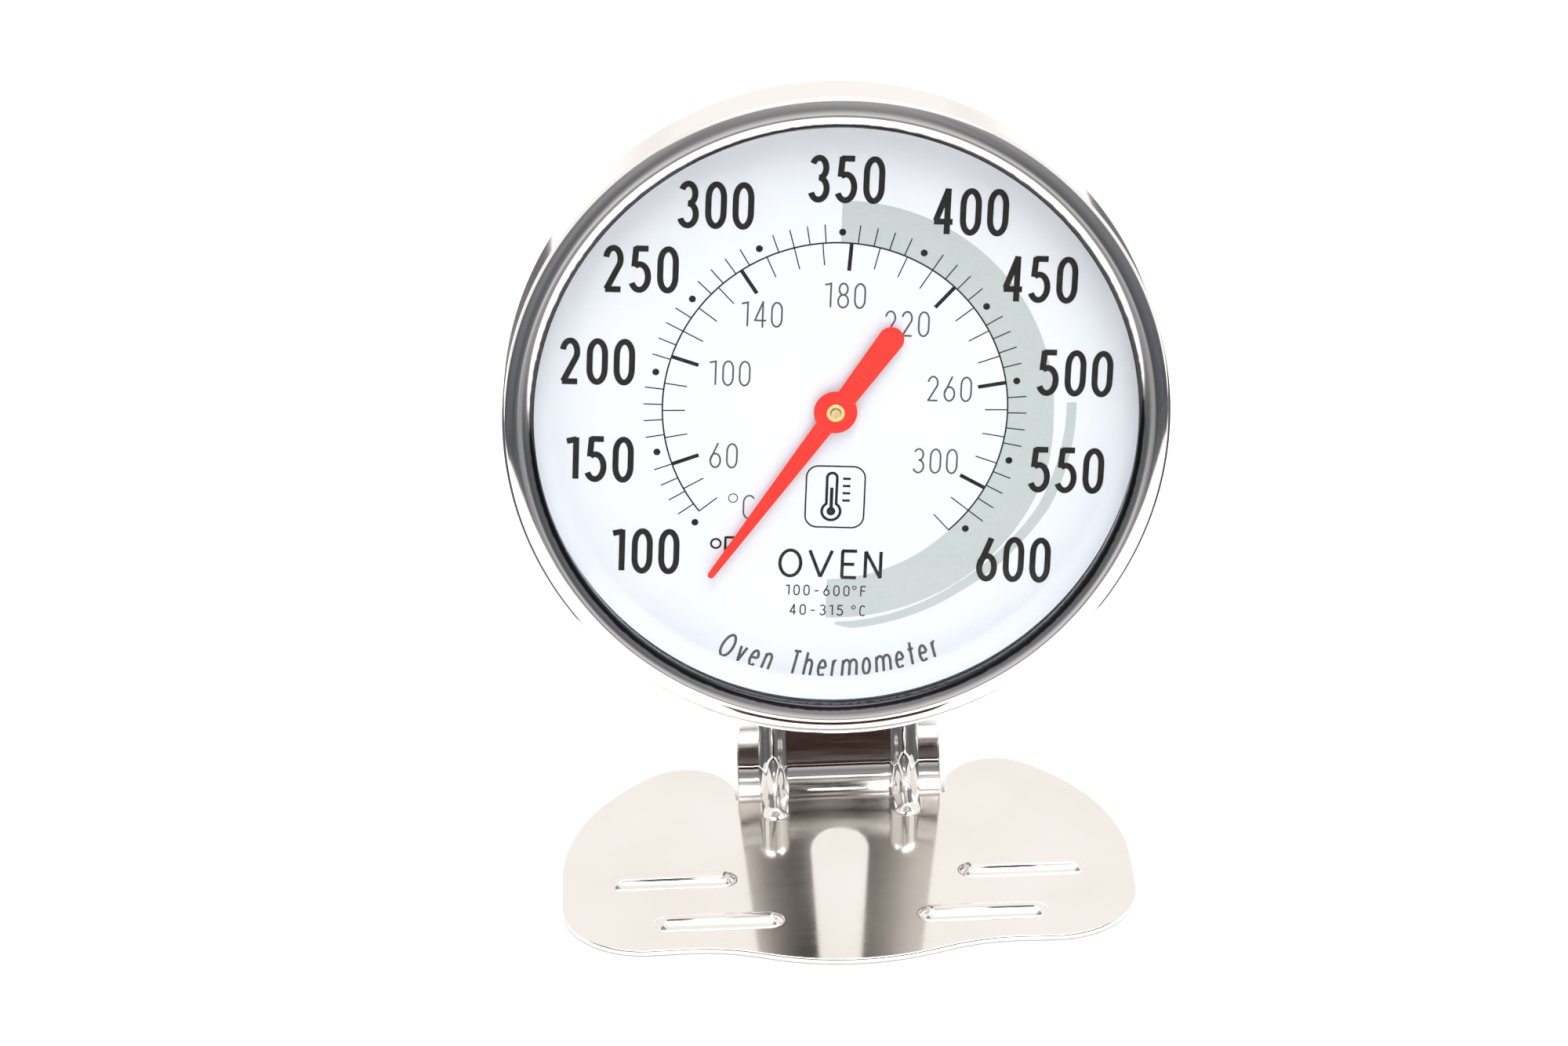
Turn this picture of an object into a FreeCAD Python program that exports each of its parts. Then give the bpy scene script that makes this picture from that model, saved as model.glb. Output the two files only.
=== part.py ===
import FreeCAD, Part
import math
import os

# Dial oven thermometer on a one-piece stamped stand. Millimetres and degrees.
# Row frame: origin at the middle of the foot's underside, +X to the reader's
# right, +Y to the back, +Z up. The head (case, dial and movement) is modelled
# in its own frame: X to the right, Y up the dial, Z out of the glass towards
# the reader, with Z = 0 at the front edge of the window.

os.makedirs("parts", exist_ok=True)
V = FreeCAD.Vector

# --- Driving dimensions: stand
LEAN = 10.0               # dial and upright lean back from the vertical
SHEET = 0.8               # stamped stainless sheet
BEND_Y = 18.0             # corner where the foot's and the upright's faces meet
BEND_R = 3.6              # inside radius of that bend
NECK_HALF = 13.5          # half width of the upright at the bend
NECK_TAPER = 0.082        # half width lost per millimetre up the upright
UPRIGHT_END = 76.0        # height along the upright where the hook begins
PAD_DROP = 11.0           # pad's lower end, below the dial's centre
SLOT_START = 12.0         # centre of the slot's lower end, along the upright
SLOT_END = 46.0
SLOT_HALF = 3.74          # half width at the slot's lower end
SLOT_TAPER = 0.048
BEAD_HALF = 1.7           # half width of the foot's pressed beads
BEAD_RISE = 0.9
BEAD_LENGTH = 16.1
BEAD_PLACES = ((22.4, -21.9), (16.7, -31.5))   # centres from the bend corner
RIB_X = 8.6
RIB_HALF = 1.3
RIB_RISE = 0.9
RIB_FOOT = 6.8            # how far each rib runs out over the foot
RIB_UP = 11.0             # and up the upright
RIB_BEND_R = 6.0

# --- Driving dimensions: head
HEAD_Y = BEND_Y - 15.0    # centre of the window
HEAD_Z = 61.6 + SHEET
BEZEL_R = 41.0
WINDOW_R = 37.1
SKIN = 0.5                # bezel and pan sheet
LIP_DEPTH = 0.9           # turned-in lip of the window
CRIMP_Z = -8.1            # inside of the bezel's crimped rear edge
CRIMP_R = 38.9
CASE_DEPTH = 13.0
PAN_R = 38.2              # pan behind the crimp
PAN_MOUTH_R = 40.35       # pan inside the bezel
GLASS_R = 40.2
GLASS_T = 1.6
GASKET_R = 37.4
GASKET_T = 0.6
DIAL_T = 0.3
DIAL_DROP = 5.6           # dial face behind the window's edge
DIAL_FLOOR_R = 36.5       # foot of the turned-up rim
DIAL_HOLE_R = 1.7
GLASS_BACK = -LIP_DEPTH - GLASS_T
RIM_FRONT = GLASS_BACK - GASKET_T

# --- Driving dimensions: movement
STAFF_R = 0.6
RUNNING_GAP = 0.05
PLATE = 0.6               # frame and bridge sheet
FRAME_HALF_X = 14.0
FRAME_HALF_Y = 4.5
FLANGE_X = 17.5
PAN_FLOOR = -CASE_DEPTH + SKIN
BRIDGE_BACK = -7.0
BRIDGE_RIVET_X = 15.8
BRIDGE_RIVET_R = 0.8
MOUNT_RIVET_X = 4.4
MOUNT_RIVET_R = 1.25
BUSH_R = 1.5
COLLAR_R = 1.7
COIL_T = 0.35
COIL_WIDE = 2.4
COIL_TURNS = 6
COIL_OUTER_R = 10.9
ANCHOR_R = 0.7
POINTER_BACK = -4.6
POINTER_T = 0.4
POINTER_ANGLE = -142.2    # at room temperature, clockwise from the dial's top
POINTER_TIP = 26.6
POINTER_TAIL = 13.1
POINTER_HUB_R = 2.68
EYELET_R = 0.95
EYELET_FLARE_R = 1.15


def corner(before, here, after, radius):
    """Tangent points and mid point of a round of this radius at a corner."""
    to_before = (before - here).normalize()
    to_after = (after - here).normalize()
    half = to_before.getAngle(to_after) / 2
    reach = radius / math.tan(half)
    middle = (to_before + to_after).normalize()
    top = here + middle * (radius / math.sin(half) - radius)
    return here + to_before * reach, top, here + to_after * reach


def outline(points):
    """Closed wire through (x, y, radius) corners in the XY plane."""
    corners = [(V(x, y, 0), radius) for x, y, radius in points]
    edges = []
    ends = []
    for i, (here, radius) in enumerate(corners):
        if radius:
            before = corners[i - 1][0]
            after = corners[(i + 1) % len(corners)][0]
            start, top, stop = corner(before, here, after, radius)
            edges.append(Part.Arc(start, top, stop).toShape())
            ends.append((start, stop))
        else:
            edges.append(None)
            ends.append((here, here))
    loop = []
    for i, edge in enumerate(edges):
        if edge:
            loop.append(edge)
        leave = ends[i][1]
        arrive = ends[(i + 1) % len(ends)][0]
        if leave.distanceToPoint(arrive) > 1e-6:
            loop.append(Part.LineSegment(leave, arrive).toShape())
    return Part.Wire(loop)


def plate(points, bottom, top):
    """Flat sheet with that outline, from height bottom to height top."""
    face = Part.Face(outline(points))
    face.translate(V(0, 0, bottom))
    return face.extrude(V(0, 0, top - bottom))


def turned(points):
    """Solid of revolution about Z from (radius, z, round) corners."""
    face = Part.Face(outline(points))
    face.rotate(V(0, 0, 0), V(1, 0, 0), 90)
    return face.revolve(V(0, 0, 0), V(0, 0, 1), 360)


def rod(radius, bottom, top, x=0.0, y=0.0):
    return Part.makeCylinder(radius, top - bottom, V(x, y, bottom))


def washer(outer, inner, bottom, top):
    return rod(outer, bottom, top).cut(rod(inner, bottom - 1, top + 1))


def folded(points, half_width):
    """Bent strip: its side profile in XZ, extruded across Y."""
    face = Part.Face(outline(points))
    face.rotate(V(0, 0, 0), V(1, 0, 0), 90)
    face.translate(V(0, half_width, 0))
    return face.extrude(V(0, -2 * half_width, 0))


def mirrored(points):
    """Right half of an outline, from front to back, and its mirror image."""
    left = [(-x, y, radius) for x, y, radius in reversed(points) if x > 0]
    return points + left


# --- Places in the head are turned to lean back and lifted onto the stand
HEAD = FreeCAD.Placement(V(0, HEAD_Y, HEAD_Z),
                         FreeCAD.Rotation(V(1, 0, 0), 90 - LEAN))
# --- The upright's own frame: X across, Y up along it, Z out of its front
UPRIGHT = FreeCAD.Placement(V(0, BEND_Y, SHEET),
                            FreeCAD.Rotation(V(1, 0, 0), 90 - LEAN))
TO_UPRIGHT = UPRIGHT.inverse()
HEAD_CENTRE = TO_UPRIGHT.multVec(HEAD.Base)
CASE_BACK = HEAD_CENTRE.z - CASE_DEPTH         # in front of the upright's face


# --- Stand
def foot():
    front_lobe_y = -37.7
    side_x = 36.4
    half = [(0, -42.6, 32.0),
            (16.5, -37.2, 25.0),
            (side_x, front_lobe_y, 10.7),
            (side_x, -5.4, 29.0),
            (NECK_HALF, 11.45, 6.75),
            (NECK_HALF, -bend_reach(), 0)]
    sheet = plate(mirrored(half), 0, SHEET)
    for x, y in BEAD_PLACES:
        for side in (-1, 1):
            ridge, hollow = bead(side * x, y)
            sheet = sheet.fuse(ridge).cut(hollow)
    sheet.translate(V(0, BEND_Y, 0))
    return sheet


def bend_reach():
    """Distance from the corner to where the bend's curve starts."""
    return BEND_R * math.tan(math.radians(90 - LEAN) / 2)


def capsule(radius, half_length, x, y, z):
    bar = Part.makeCylinder(radius, 2 * half_length, V(x - half_length, y, z), V(1, 0, 0))
    for side in (-1, 1):
        bar = bar.fuse(Part.makeSphere(radius, V(x + side * half_length, y, z)))
    return bar


def bead(x, y):
    """Pressed bead: the raised outside, and the hollow under it."""
    radius = (BEAD_HALF ** 2 + BEAD_RISE ** 2) / (2 * BEAD_RISE)
    axis_z = SHEET + BEAD_RISE - radius
    half_length = BEAD_LENGTH / 2 - BEAD_HALF
    ridge = capsule(radius, half_length, x, y, axis_z)
    above = Part.makeBox(30, 10, 5, V(x - 15, y - 5, SHEET / 2))
    hollow = capsule(radius - SHEET, half_length, x, y, axis_z)
    return ridge.common(above), hollow


def bend():
    """Curved strip between the foot and the upright."""
    reach = bend_reach()
    section = Part.Face(Part.makePolygon([V(-NECK_HALF, 0, 0), V(NECK_HALF, 0, 0),
                                          V(NECK_HALF, 0, SHEET), V(-NECK_HALF, 0, SHEET),
                                          V(-NECK_HALF, 0, 0)]))
    section.translate(V(0, BEND_Y - reach, 0))
    centre = V(0, BEND_Y - reach, SHEET + BEND_R)
    return section.revolve(centre, V(1, 0, 0), 90 - LEAN)


def half_width(along):
    return NECK_HALF - NECK_TAPER * (along - bend_reach())


def upright():
    start = bend_reach()
    foot_half = half_width(start)
    top_half = half_width(UPRIGHT_END)
    strip = plate([(-foot_half, start, 0), (foot_half, start, 0),
                   (top_half, UPRIGHT_END, 0), (-top_half, UPRIGHT_END, 0)], -SHEET, 0)
    strip = strip.cut(slot())
    strip.Placement = UPRIGHT
    return strip


def slot():
    """Hanging slot: two round ends joined by tapering sides."""
    far_half = SLOT_HALF - SLOT_TAPER * (SLOT_END - SLOT_START)
    low = rod(SLOT_HALF, -5, 5, 0, SLOT_START)
    high = rod(far_half, -5, 5, 0, SLOT_END)
    sides = plate([(-SLOT_HALF, SLOT_START, 0), (SLOT_HALF, SLOT_START, 0),
                   (far_half, SLOT_END, 0), (-far_half, SLOT_END, 0)], -5, 5)
    return low.fuse([high, sides])


def hook():
    """Half-round fold over the top, from the upright to the pad."""
    top_half = half_width(UPRIGHT_END)
    section = Part.Face(Part.makePolygon([V(-top_half, UPRIGHT_END, 0), V(top_half, UPRIGHT_END, 0),
                                          V(top_half, UPRIGHT_END, -SHEET),
                                          V(-top_half, UPRIGHT_END, -SHEET),
                                          V(-top_half, UPRIGHT_END, 0)]))
    fold_radius = (CASE_BACK - SHEET) / 2
    arch = section.revolve(V(0, UPRIGHT_END, fold_radius), V(1, 0, 0), 180)
    arch.Placement = UPRIGHT
    return arch


def pad():
    """Flat end that lies on the case's back."""
    top_half = half_width(UPRIGHT_END)
    low = HEAD_CENTRE.y - PAD_DROP
    flat = plate([(-top_half, low, 4.0), (top_half, low, 4.0),
                  (top_half, UPRIGHT_END, 0), (-top_half, UPRIGHT_END, 0)],
                 CASE_BACK - SHEET, CASE_BACK)
    for x in (-MOUNT_RIVET_X, MOUNT_RIVET_X):
        flat = flat.cut(rod(MOUNT_RIVET_R, CASE_BACK - 2, CASE_BACK + 1, x, HEAD_CENTRE.y))
    flat.Placement = UPRIGHT
    return flat


def rib(x):
    """Stiffening rib that crosses the bend on its inside."""
    radius = (RIB_HALF ** 2 + RIB_RISE ** 2) / (2 * RIB_RISE)
    depth = radius - RIB_RISE
    start = V(x, BEND_Y - RIB_FOOT, SHEET - depth)
    stop = UPRIGHT.multVec(V(x, RIB_UP, -depth))
    lift = depth * math.tan(math.radians(90 - LEAN) / 2)
    turn = V(x, BEND_Y + lift, SHEET - depth)
    near, top, far = corner(start, turn, stop, RIB_BEND_R)
    path = Part.Wire([Part.LineSegment(start, near).toShape(),
                      Part.Arc(near, top, far).toShape(),
                      Part.LineSegment(far, stop).toShape()])
    ring = Part.Wire(Part.makeCircle(radius, start, V(0, 1, 0)))
    tube = path.makePipeShell([ring], True, True)
    tube = tube.fuse([Part.makeSphere(radius, start), Part.makeSphere(radius, stop)])
    return tube.common(front_of_stand())


def front_of_stand():
    """Space before the middle of the sheet: over the foot and the bend, and
    in front of the upright."""
    skin = SHEET / 2
    reach = bend_reach()
    over_foot = Part.makeBox(60, 60, 60, V(-30, BEND_Y - reach - 60, skin))
    before_upright = Part.makeBox(60, 60, 40, V(-30, reach, -skin))
    before_upright.Placement = UPRIGHT.multiply(before_upright.Placement)
    in_bend = Part.makeCylinder(BEND_R + skin, 60,
                                V(-30, BEND_Y - reach, SHEET + BEND_R), V(1, 0, 0))
    return over_foot.fuse([before_upright, in_bend])


def stand():
    sheet = foot().fuse([bend(), upright(), hook(), pad(), rib(-RIB_X), rib(RIB_X)])
    return sheet.removeSplitter()


# --- Case
def bezel_ring():
    wall_inside = BEZEL_R - SKIN
    return turned([(WINDOW_R, -LIP_DEPTH, 0),
                   (WINDOW_R, 0.1, 0.35),
                   (39.0, 0.95, 1.8),
                   (BEZEL_R, 0.1, 0.9),
                   (BEZEL_R, CRIMP_Z - SKIN, 0.7),
                   (CRIMP_R, CRIMP_Z - SKIN, 0),
                   (CRIMP_R, CRIMP_Z, 0),
                   (wall_inside, CRIMP_Z, 0.2),
                   (wall_inside, -0.3, 0.4),
                   (39.0, 0.42, 1.3),
                   (WINDOW_R + SKIN, -0.3, 0),
                   (WINDOW_R + SKIN, -LIP_DEPTH, 0)])


def lens():
    return rod(GLASS_R, GLASS_BACK, -LIP_DEPTH)


def lens_gasket():
    return washer(GLASS_R, GASKET_R, RIM_FRONT, GLASS_BACK)


def dial_plate():
    back = -DIAL_DROP - DIAL_T
    disc = turned([(0, -DIAL_DROP, 0), (DIAL_FLOOR_R, -DIAL_DROP, 2.2),
                   (GASKET_R + 0.1, RIM_FRONT, 0.6), (GLASS_R, RIM_FRONT, 0),
                   (GLASS_R, RIM_FRONT - DIAL_T, 0), (GASKET_R + 0.4, RIM_FRONT - DIAL_T, 0.5),
                   (DIAL_FLOOR_R + 0.2, back, 2.4), (0, back, 0)])
    return disc.cut(rod(DIAL_HOLE_R, back - 1, -DIAL_DROP + 1))


def case_pan():
    mouth = RIM_FRONT - DIAL_T
    inside = PAN_MOUTH_R - SKIN
    shell = turned([(PAN_MOUTH_R, mouth, 0), (PAN_MOUTH_R, CRIMP_Z, 0.6),
                    (PAN_R, CRIMP_Z, 0.5), (PAN_R, -CASE_DEPTH, 2.0), (0, -CASE_DEPTH, 0),
                    (0, PAN_FLOOR, 0), (PAN_R - SKIN, PAN_FLOOR, 1.5),
                    (PAN_R - SKIN, CRIMP_Z + SKIN, 0.6), (inside, CRIMP_Z + SKIN, 0.3),
                    (inside, mouth, 0)])
    for x in (-MOUNT_RIVET_X, MOUNT_RIVET_X):
        shell = shell.cut(rod(MOUNT_RIVET_R, -CASE_DEPTH - 1, PAN_FLOOR + 1, x))
    return shell


def mounting_rivet(x):
    """Holds the stand's pad, the pan and the movement frame together."""
    inner_face = PAN_FLOOR + PLATE
    outer_face = -CASE_DEPTH - SHEET
    shank = rod(MOUNT_RIVET_R, outer_face, inner_face)
    inside_head = rod(2.0, inner_face, inner_face + 0.6)
    dome = Part.makeSphere(3.4, V(0, 0, outer_face + 2.4))
    outside_head = dome.common(rod(2.4, outer_face - 1.0, outer_face))
    rivet = shank.fuse([inside_head, outside_head])
    rivet.translate(V(x, 0, 0))
    return rivet


# --- Movement
def movement_frame():
    """U bracket on the pan's floor, with flanges for the bridge."""
    floor = PAN_FLOOR
    top = BRIDGE_BACK
    leg = FRAME_HALF_X - PLATE
    outer = [(FRAME_HALF_X, floor, 0.8), (FRAME_HALF_X, top - PLATE, 0.2),
             (FLANGE_X, top - PLATE, 0), (FLANGE_X, top, 0), (leg, top, 0.8),
             (leg, floor + PLATE, 0.2)]
    profile = outer + [(-x, z, r) for x, z, r in reversed(outer)]
    frame = folded(profile, FRAME_HALF_Y)
    holes = [rod(MOUNT_RIVET_R, floor - 1, floor + 2, x) for x in (-MOUNT_RIVET_X, MOUNT_RIVET_X)]
    holes.append(rod(BUSH_R, floor - 1, floor + 2))
    for x in (-BRIDGE_RIVET_X, BRIDGE_RIVET_X):
        holes.append(rod(BRIDGE_RIVET_R, top - 2, top + 1, x))
    for hole in holes:
        frame = frame.cut(hole)
    return frame


def front_bridge():
    strip = plate([(-FLANGE_X, -FRAME_HALF_Y, 1.5), (FLANGE_X, -FRAME_HALF_Y, 1.5),
                   (FLANGE_X, FRAME_HALF_Y, 1.5), (-FLANGE_X, FRAME_HALF_Y, 1.5)],
                  BRIDGE_BACK, BRIDGE_BACK + PLATE)
    strip = strip.cut(rod(BUSH_R, BRIDGE_BACK - 1, BRIDGE_BACK + 2))
    strip = strip.cut(rod(ANCHOR_R, BRIDGE_BACK - 1, BRIDGE_BACK + 2, anchor_x()))
    for x in (-BRIDGE_RIVET_X, BRIDGE_RIVET_X):
        strip = strip.cut(rod(BRIDGE_RIVET_R, BRIDGE_BACK - 1, BRIDGE_BACK + 2, x))
    return strip


def bridge_rivets():
    low = BRIDGE_BACK - PLATE
    high = BRIDGE_BACK + PLATE
    pair = []
    for x in (-BRIDGE_RIVET_X, BRIDGE_RIVET_X):
        shank = rod(BRIDGE_RIVET_R, low, high, x)
        heads = [rod(1.3, low - 0.5, low, x), rod(1.3, high, high + 0.3, x)]
        pair.append(shank.fuse(heads).removeSplitter())
    return Part.makeCompound(pair)


def bushing(flange_low, flange_high, sleeve_low, sleeve_high):
    body = rod(2.1, flange_low, flange_high).fuse(rod(BUSH_R, sleeve_low, sleeve_high))
    bore = rod(STAFF_R + RUNNING_GAP, sleeve_low - 2, flange_high + 2)
    return body.cut(bore).removeSplitter()


def front_bushing():
    return bushing(BRIDGE_BACK - 0.5, BRIDGE_BACK, BRIDGE_BACK - 0.5, BRIDGE_BACK + 0.9)


def rear_bushing():
    seat = PAN_FLOOR + PLATE
    return bushing(seat, seat + 0.5, PAN_FLOOR + 0.05, seat + 0.5)


def thrust_washer():
    seat = PAN_FLOOR + PLATE + 0.5
    return washer(1.8, STAFF_R + 0.1, seat, seat + 0.2)


def staff():
    return rod(STAFF_R, PAN_FLOOR + 0.2, -3.7)


def coil_collar():
    low = PAN_FLOOR + PLATE + 0.5 + 0.2 + 0.05
    return washer(COLLAR_R, STAFF_R, low, BRIDGE_BACK - 0.6)


def coil_low():
    return BRIDGE_BACK - 1.3 - COIL_WIDE


def spiral(offset):
    """Curve at this offset from the strip's middle, inner end to outer end."""
    inner = COLLAR_R + COIL_T / 2
    steps = 24 * COIL_TURNS
    points = []
    for i in range(steps + 1):
        angle = 2 * math.pi * COIL_TURNS * i / steps
        radius = inner + (COIL_OUTER_R - inner) * i / steps + offset
        points.append(V(radius * math.cos(angle), radius * math.sin(angle), coil_low()))
    curve = Part.BSplineCurve()
    curve.interpolate(points)
    return curve.toShape(), points[0], points[-1]


def bimetal_coil():
    inside, inside_start, inside_end = spiral(-COIL_T / 2)
    outside, outside_start, outside_end = spiral(COIL_T / 2)
    ends = [Part.LineSegment(inside_start, outside_start).toShape(),
            Part.LineSegment(inside_end, outside_end).toShape()]
    loop = Part.Wire(Part.__sortEdges__([inside, ends[1], outside, ends[0]]))
    return Part.Face(loop).extrude(V(0, 0, COIL_WIDE))


def anchor_x():
    return COIL_OUTER_R + COIL_T / 2 + ANCHOR_R


def coil_anchor():
    return rod(ANCHOR_R, coil_low() - 0.2, BRIDGE_BACK + PLATE, anchor_x())


# --- Pointer: the needle points along +Y before it is turned to its reading
def pointer():
    top = POINTER_BACK + POINTER_T
    needle = plate([(-0.42, POINTER_TIP, 0.41), (-1.13, 3.0, 0), (1.13, 3.0, 0),
                    (0.42, POINTER_TIP, 0.41)], POINTER_BACK, top)
    root = plate([(-1.16, 0, 0), (1.16, 0, 0), (1.13, 3.0, 0), (-1.13, 3.0, 0)],
                 POINTER_BACK, top)
    tail = plate([(-1.28, 0, 0), (1.28, 0, 0), (1.6, -POINTER_TAIL, 1.55),
                  (-1.6, -POINTER_TAIL, 1.55)], POINTER_BACK, top)
    hub = rod(POINTER_HUB_R, POINTER_BACK, top)
    blade = hub.fuse([needle, root, tail]).cut(rod(EYELET_R, POINTER_BACK - 1, top + 1))
    blade = blade.removeSplitter()
    blade.rotate(V(0, 0, 0), V(0, 0, 1), -POINTER_ANGLE)
    return blade


def pointer_eyelet():
    top = POINTER_BACK + POINTER_T
    body = rod(EYELET_R, POINTER_BACK, top)
    flange = rod(1.6, POINTER_BACK - 0.45, POINTER_BACK)
    flare = turned([(0, top, 0), (EYELET_FLARE_R, top, 0), (EYELET_FLARE_R, top + 0.28, 0.12),
                    (0, top + 0.28, 0)])
    solid = body.fuse([flange, flare]).cut(rod(STAFF_R, POINTER_BACK - 1, top + 1))
    return solid.removeSplitter()


HEAD_PARTS = {
    "bezel_ring": bezel_ring(),
    "lens": lens(),
    "lens_gasket": lens_gasket(),
    "dial_plate": dial_plate(),
    "case_pan": case_pan(),
    "mounting_rivet_left": mounting_rivet(-MOUNT_RIVET_X),
    "mounting_rivet_right": mounting_rivet(MOUNT_RIVET_X),
    "movement_frame": movement_frame(),
    "front_bridge": front_bridge(),
    "bridge_rivets": bridge_rivets(),
    "front_bushing": front_bushing(),
    "rear_bushing": rear_bushing(),
    "thrust_washer": thrust_washer(),
    "staff": staff(),
    "coil_collar": coil_collar(),
    "bimetal_coil": bimetal_coil(),
    "coil_anchor": coil_anchor(),
    "pointer": pointer(),
    "pointer_eyelet": pointer_eyelet(),
}


def export(name, shape):
    shape.exportStep("parts/" + name + ".step")
    box = shape.BoundBox
    print(name, "valid" if shape.isValid() else "BROKEN", len(shape.Solids), "solids",
          round(shape.Volume, 1), "mm3",
          [round(v, 2) for v in (box.XMin, box.XMax, box.YMin, box.YMax, box.ZMin, box.ZMax)])


export("stand", stand())
for name, shape in HEAD_PARTS.items():
    shape.Placement = HEAD.multiply(shape.Placement)
    export(name, shape)
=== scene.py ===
import math

import bpy
import numpy as np
from mathutils import Matrix, Vector
from mathutils.geometry import delaunay_2d_cdt


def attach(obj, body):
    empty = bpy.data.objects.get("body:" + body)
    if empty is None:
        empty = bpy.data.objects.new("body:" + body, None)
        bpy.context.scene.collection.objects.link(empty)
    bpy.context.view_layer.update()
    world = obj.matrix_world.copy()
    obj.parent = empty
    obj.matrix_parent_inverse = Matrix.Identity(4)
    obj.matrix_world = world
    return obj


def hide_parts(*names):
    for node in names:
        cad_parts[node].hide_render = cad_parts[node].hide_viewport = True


# Dial oven thermometer on a stamped stainless stand. Lengths are millimetres
# and angles are degrees until a mesh is made; finished meshes are in metres.
# Row frame: middle of the foot's underside, +X right, +Y back, +Z up.
# Head frame: X right, Y up the dial, Z out of the glass, 0 at the window edge.
# Print frame: the head frame turned with the dial plate in its case.

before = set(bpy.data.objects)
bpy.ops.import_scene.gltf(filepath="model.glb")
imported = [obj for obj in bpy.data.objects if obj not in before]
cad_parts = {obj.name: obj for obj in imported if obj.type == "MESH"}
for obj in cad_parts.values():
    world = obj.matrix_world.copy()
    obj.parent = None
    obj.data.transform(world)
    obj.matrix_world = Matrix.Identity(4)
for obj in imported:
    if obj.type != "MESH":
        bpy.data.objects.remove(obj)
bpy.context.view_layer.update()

MM = 0.001

# --- Stand
LEAN = 10.0
SHEET = 0.8
MID = SHEET / 2
BEND_Y = 18.0
BEND_R = 3.6
BEND_TURN = math.radians(90.0 - LEAN)
REACH = BEND_R * math.tan(BEND_TURN / 2)
NECK_HALF = 13.5
NECK_TAPER = 0.082
UPRIGHT_END = 76.0
FOLD_R = 5.834
PAD_LOW = 47.059
PAD_HALF = NECK_HALF - NECK_TAPER * (UPRIGHT_END - REACH)
SLIT_R = 0.15
EDGE_ROUND = 0.22
SLOT_LOW, SLOT_HIGH = 12.0, 46.0
SLOT_HALF, SLOT_TOP_HALF = 3.74, 2.11
BEAD_HALF, BEAD_RISE, BEAD_FLANK = 1.7, 0.9, 1.5
BEAD_LENGTH = 16.1
BEAD_PLACES = ((22.4, -21.9), (16.7, -31.5))
RIB_X, RIB_SPREAD, RIB_RISE = 8.6, 1.9, 0.9
RIB_FOOT, RIB_UP = 6.8, 11.0
RIB_CREST_R = 4.61

# Distances along the middle of the sheet, from where the bend starts.
BEND_STOP = (BEND_R + MID) * BEND_TURN
UPRIGHT_STOP = BEND_STOP + UPRIGHT_END - REACH
FOLD_STOP = UPRIGHT_STOP + (FOLD_R + MID) * math.pi
BLANK_END = FOLD_STOP + UPRIGHT_END - PAD_LOW

# --- Head
HEAD_Y, HEAD_Z = 3.0, 62.4
DIAL_FACE = -5.6
INK_ROOT = DIAL_FACE - 0.02
SCALE_LINE_R = 21.35
PRINT_TURN = 3.7
POINTER_ANGLE = -142.2
POINTER_BACK, POINTER_FRONT = -4.6, -4.2
POINTER_HOLE_R = 0.95
RIVET_X = 4.4

# --- Camera: degrees down, aside and rolled; focal length; place
CAMERA_TURN = (29.1496, 1.5427, 1.4076)
CAMERA_LENS = 108.0
CAMERA_PLACE = (-20.51, -505.73, 332.44)

HEAD = Matrix.Translation((0, HEAD_Y, HEAD_Z)) @ Matrix.Rotation(BEND_TURN, 4, "X")
PRINT = HEAD @ Matrix.Rotation(math.radians(-PRINT_TURN), 4, "Z")
POINTER = HEAD @ Matrix.Rotation(math.radians(-POINTER_ANGLE), 4, "Z")


# --- meshes
def moved(matrix, points):
    m = np.array(matrix)
    return points @ m[:3, :3].T + m[:3, 3]


def spun(matrix, directions):
    return directions @ np.array(matrix)[:3, :3].T


def new_mesh(name, points, faces):
    """Smooth mesh in metres from points in millimetres."""
    mesh = bpy.data.meshes.new(name)
    mesh.from_pydata((points * MM).tolist(), [], faces)
    mesh.shade_smooth()
    return mesh


def add_piece(mesh, body, material, stands_for=()):
    obj = bpy.data.objects.new(mesh.name, mesh)
    bpy.context.scene.collection.objects.link(obj)
    mesh.materials.clear()
    mesh.materials.append(material)
    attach(obj, body)
    if stands_for:
        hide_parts(*stands_for)
    return obj


def without_repeats(points):
    gap = np.linalg.norm(points - np.roll(points, 1, axis=0), axis=1)
    return points[gap > 1e-6]


def rounded(corners, turn=8.0, chord=100.0):
    """Closed outline through (x, y, round) corners."""
    points = []
    for i, (x, y, radius) in enumerate(corners):
        here = np.array((x, y), float)
        if radius == 0:
            points.append(here)
            continue
        before = np.array(corners[i - 1][:2]) - here
        after = np.array(corners[(i + 1) % len(corners)][:2]) - here
        before /= np.linalg.norm(before)
        after /= np.linalg.norm(after)
        half = math.acos(np.clip(before @ after, -1, 1)) / 2
        middle = (before + after) / np.linalg.norm(before + after)
        centre = here + middle * radius / math.sin(half)
        first = here + before * radius / math.tan(half) - centre
        sweep = math.pi - 2 * half
        if before[0] * after[1] - before[1] * after[0] > 0:
            sweep = -sweep
        steps = max(2, math.ceil(math.degrees(abs(sweep)) / turn))
        steps = max(steps, math.ceil(abs(sweep) * radius / chord))
        start = math.atan2(first[1], first[0])
        for k in range(steps + 1):
            angle = start + sweep * k / steps
            points.append(centre + radius * np.array((math.cos(angle), math.sin(angle))))
    return without_repeats(np.array(points))


def divided(points, longest):
    """The same closed outline with no straight longer than this."""
    result = []
    for a, b in zip(points, np.roll(points, -1, axis=0)):
        steps = max(1, math.ceil(np.linalg.norm(b - a) / longest))
        result += [a + (b - a) * k / steps for k in range(steps)]
    return np.array(result)


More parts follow.
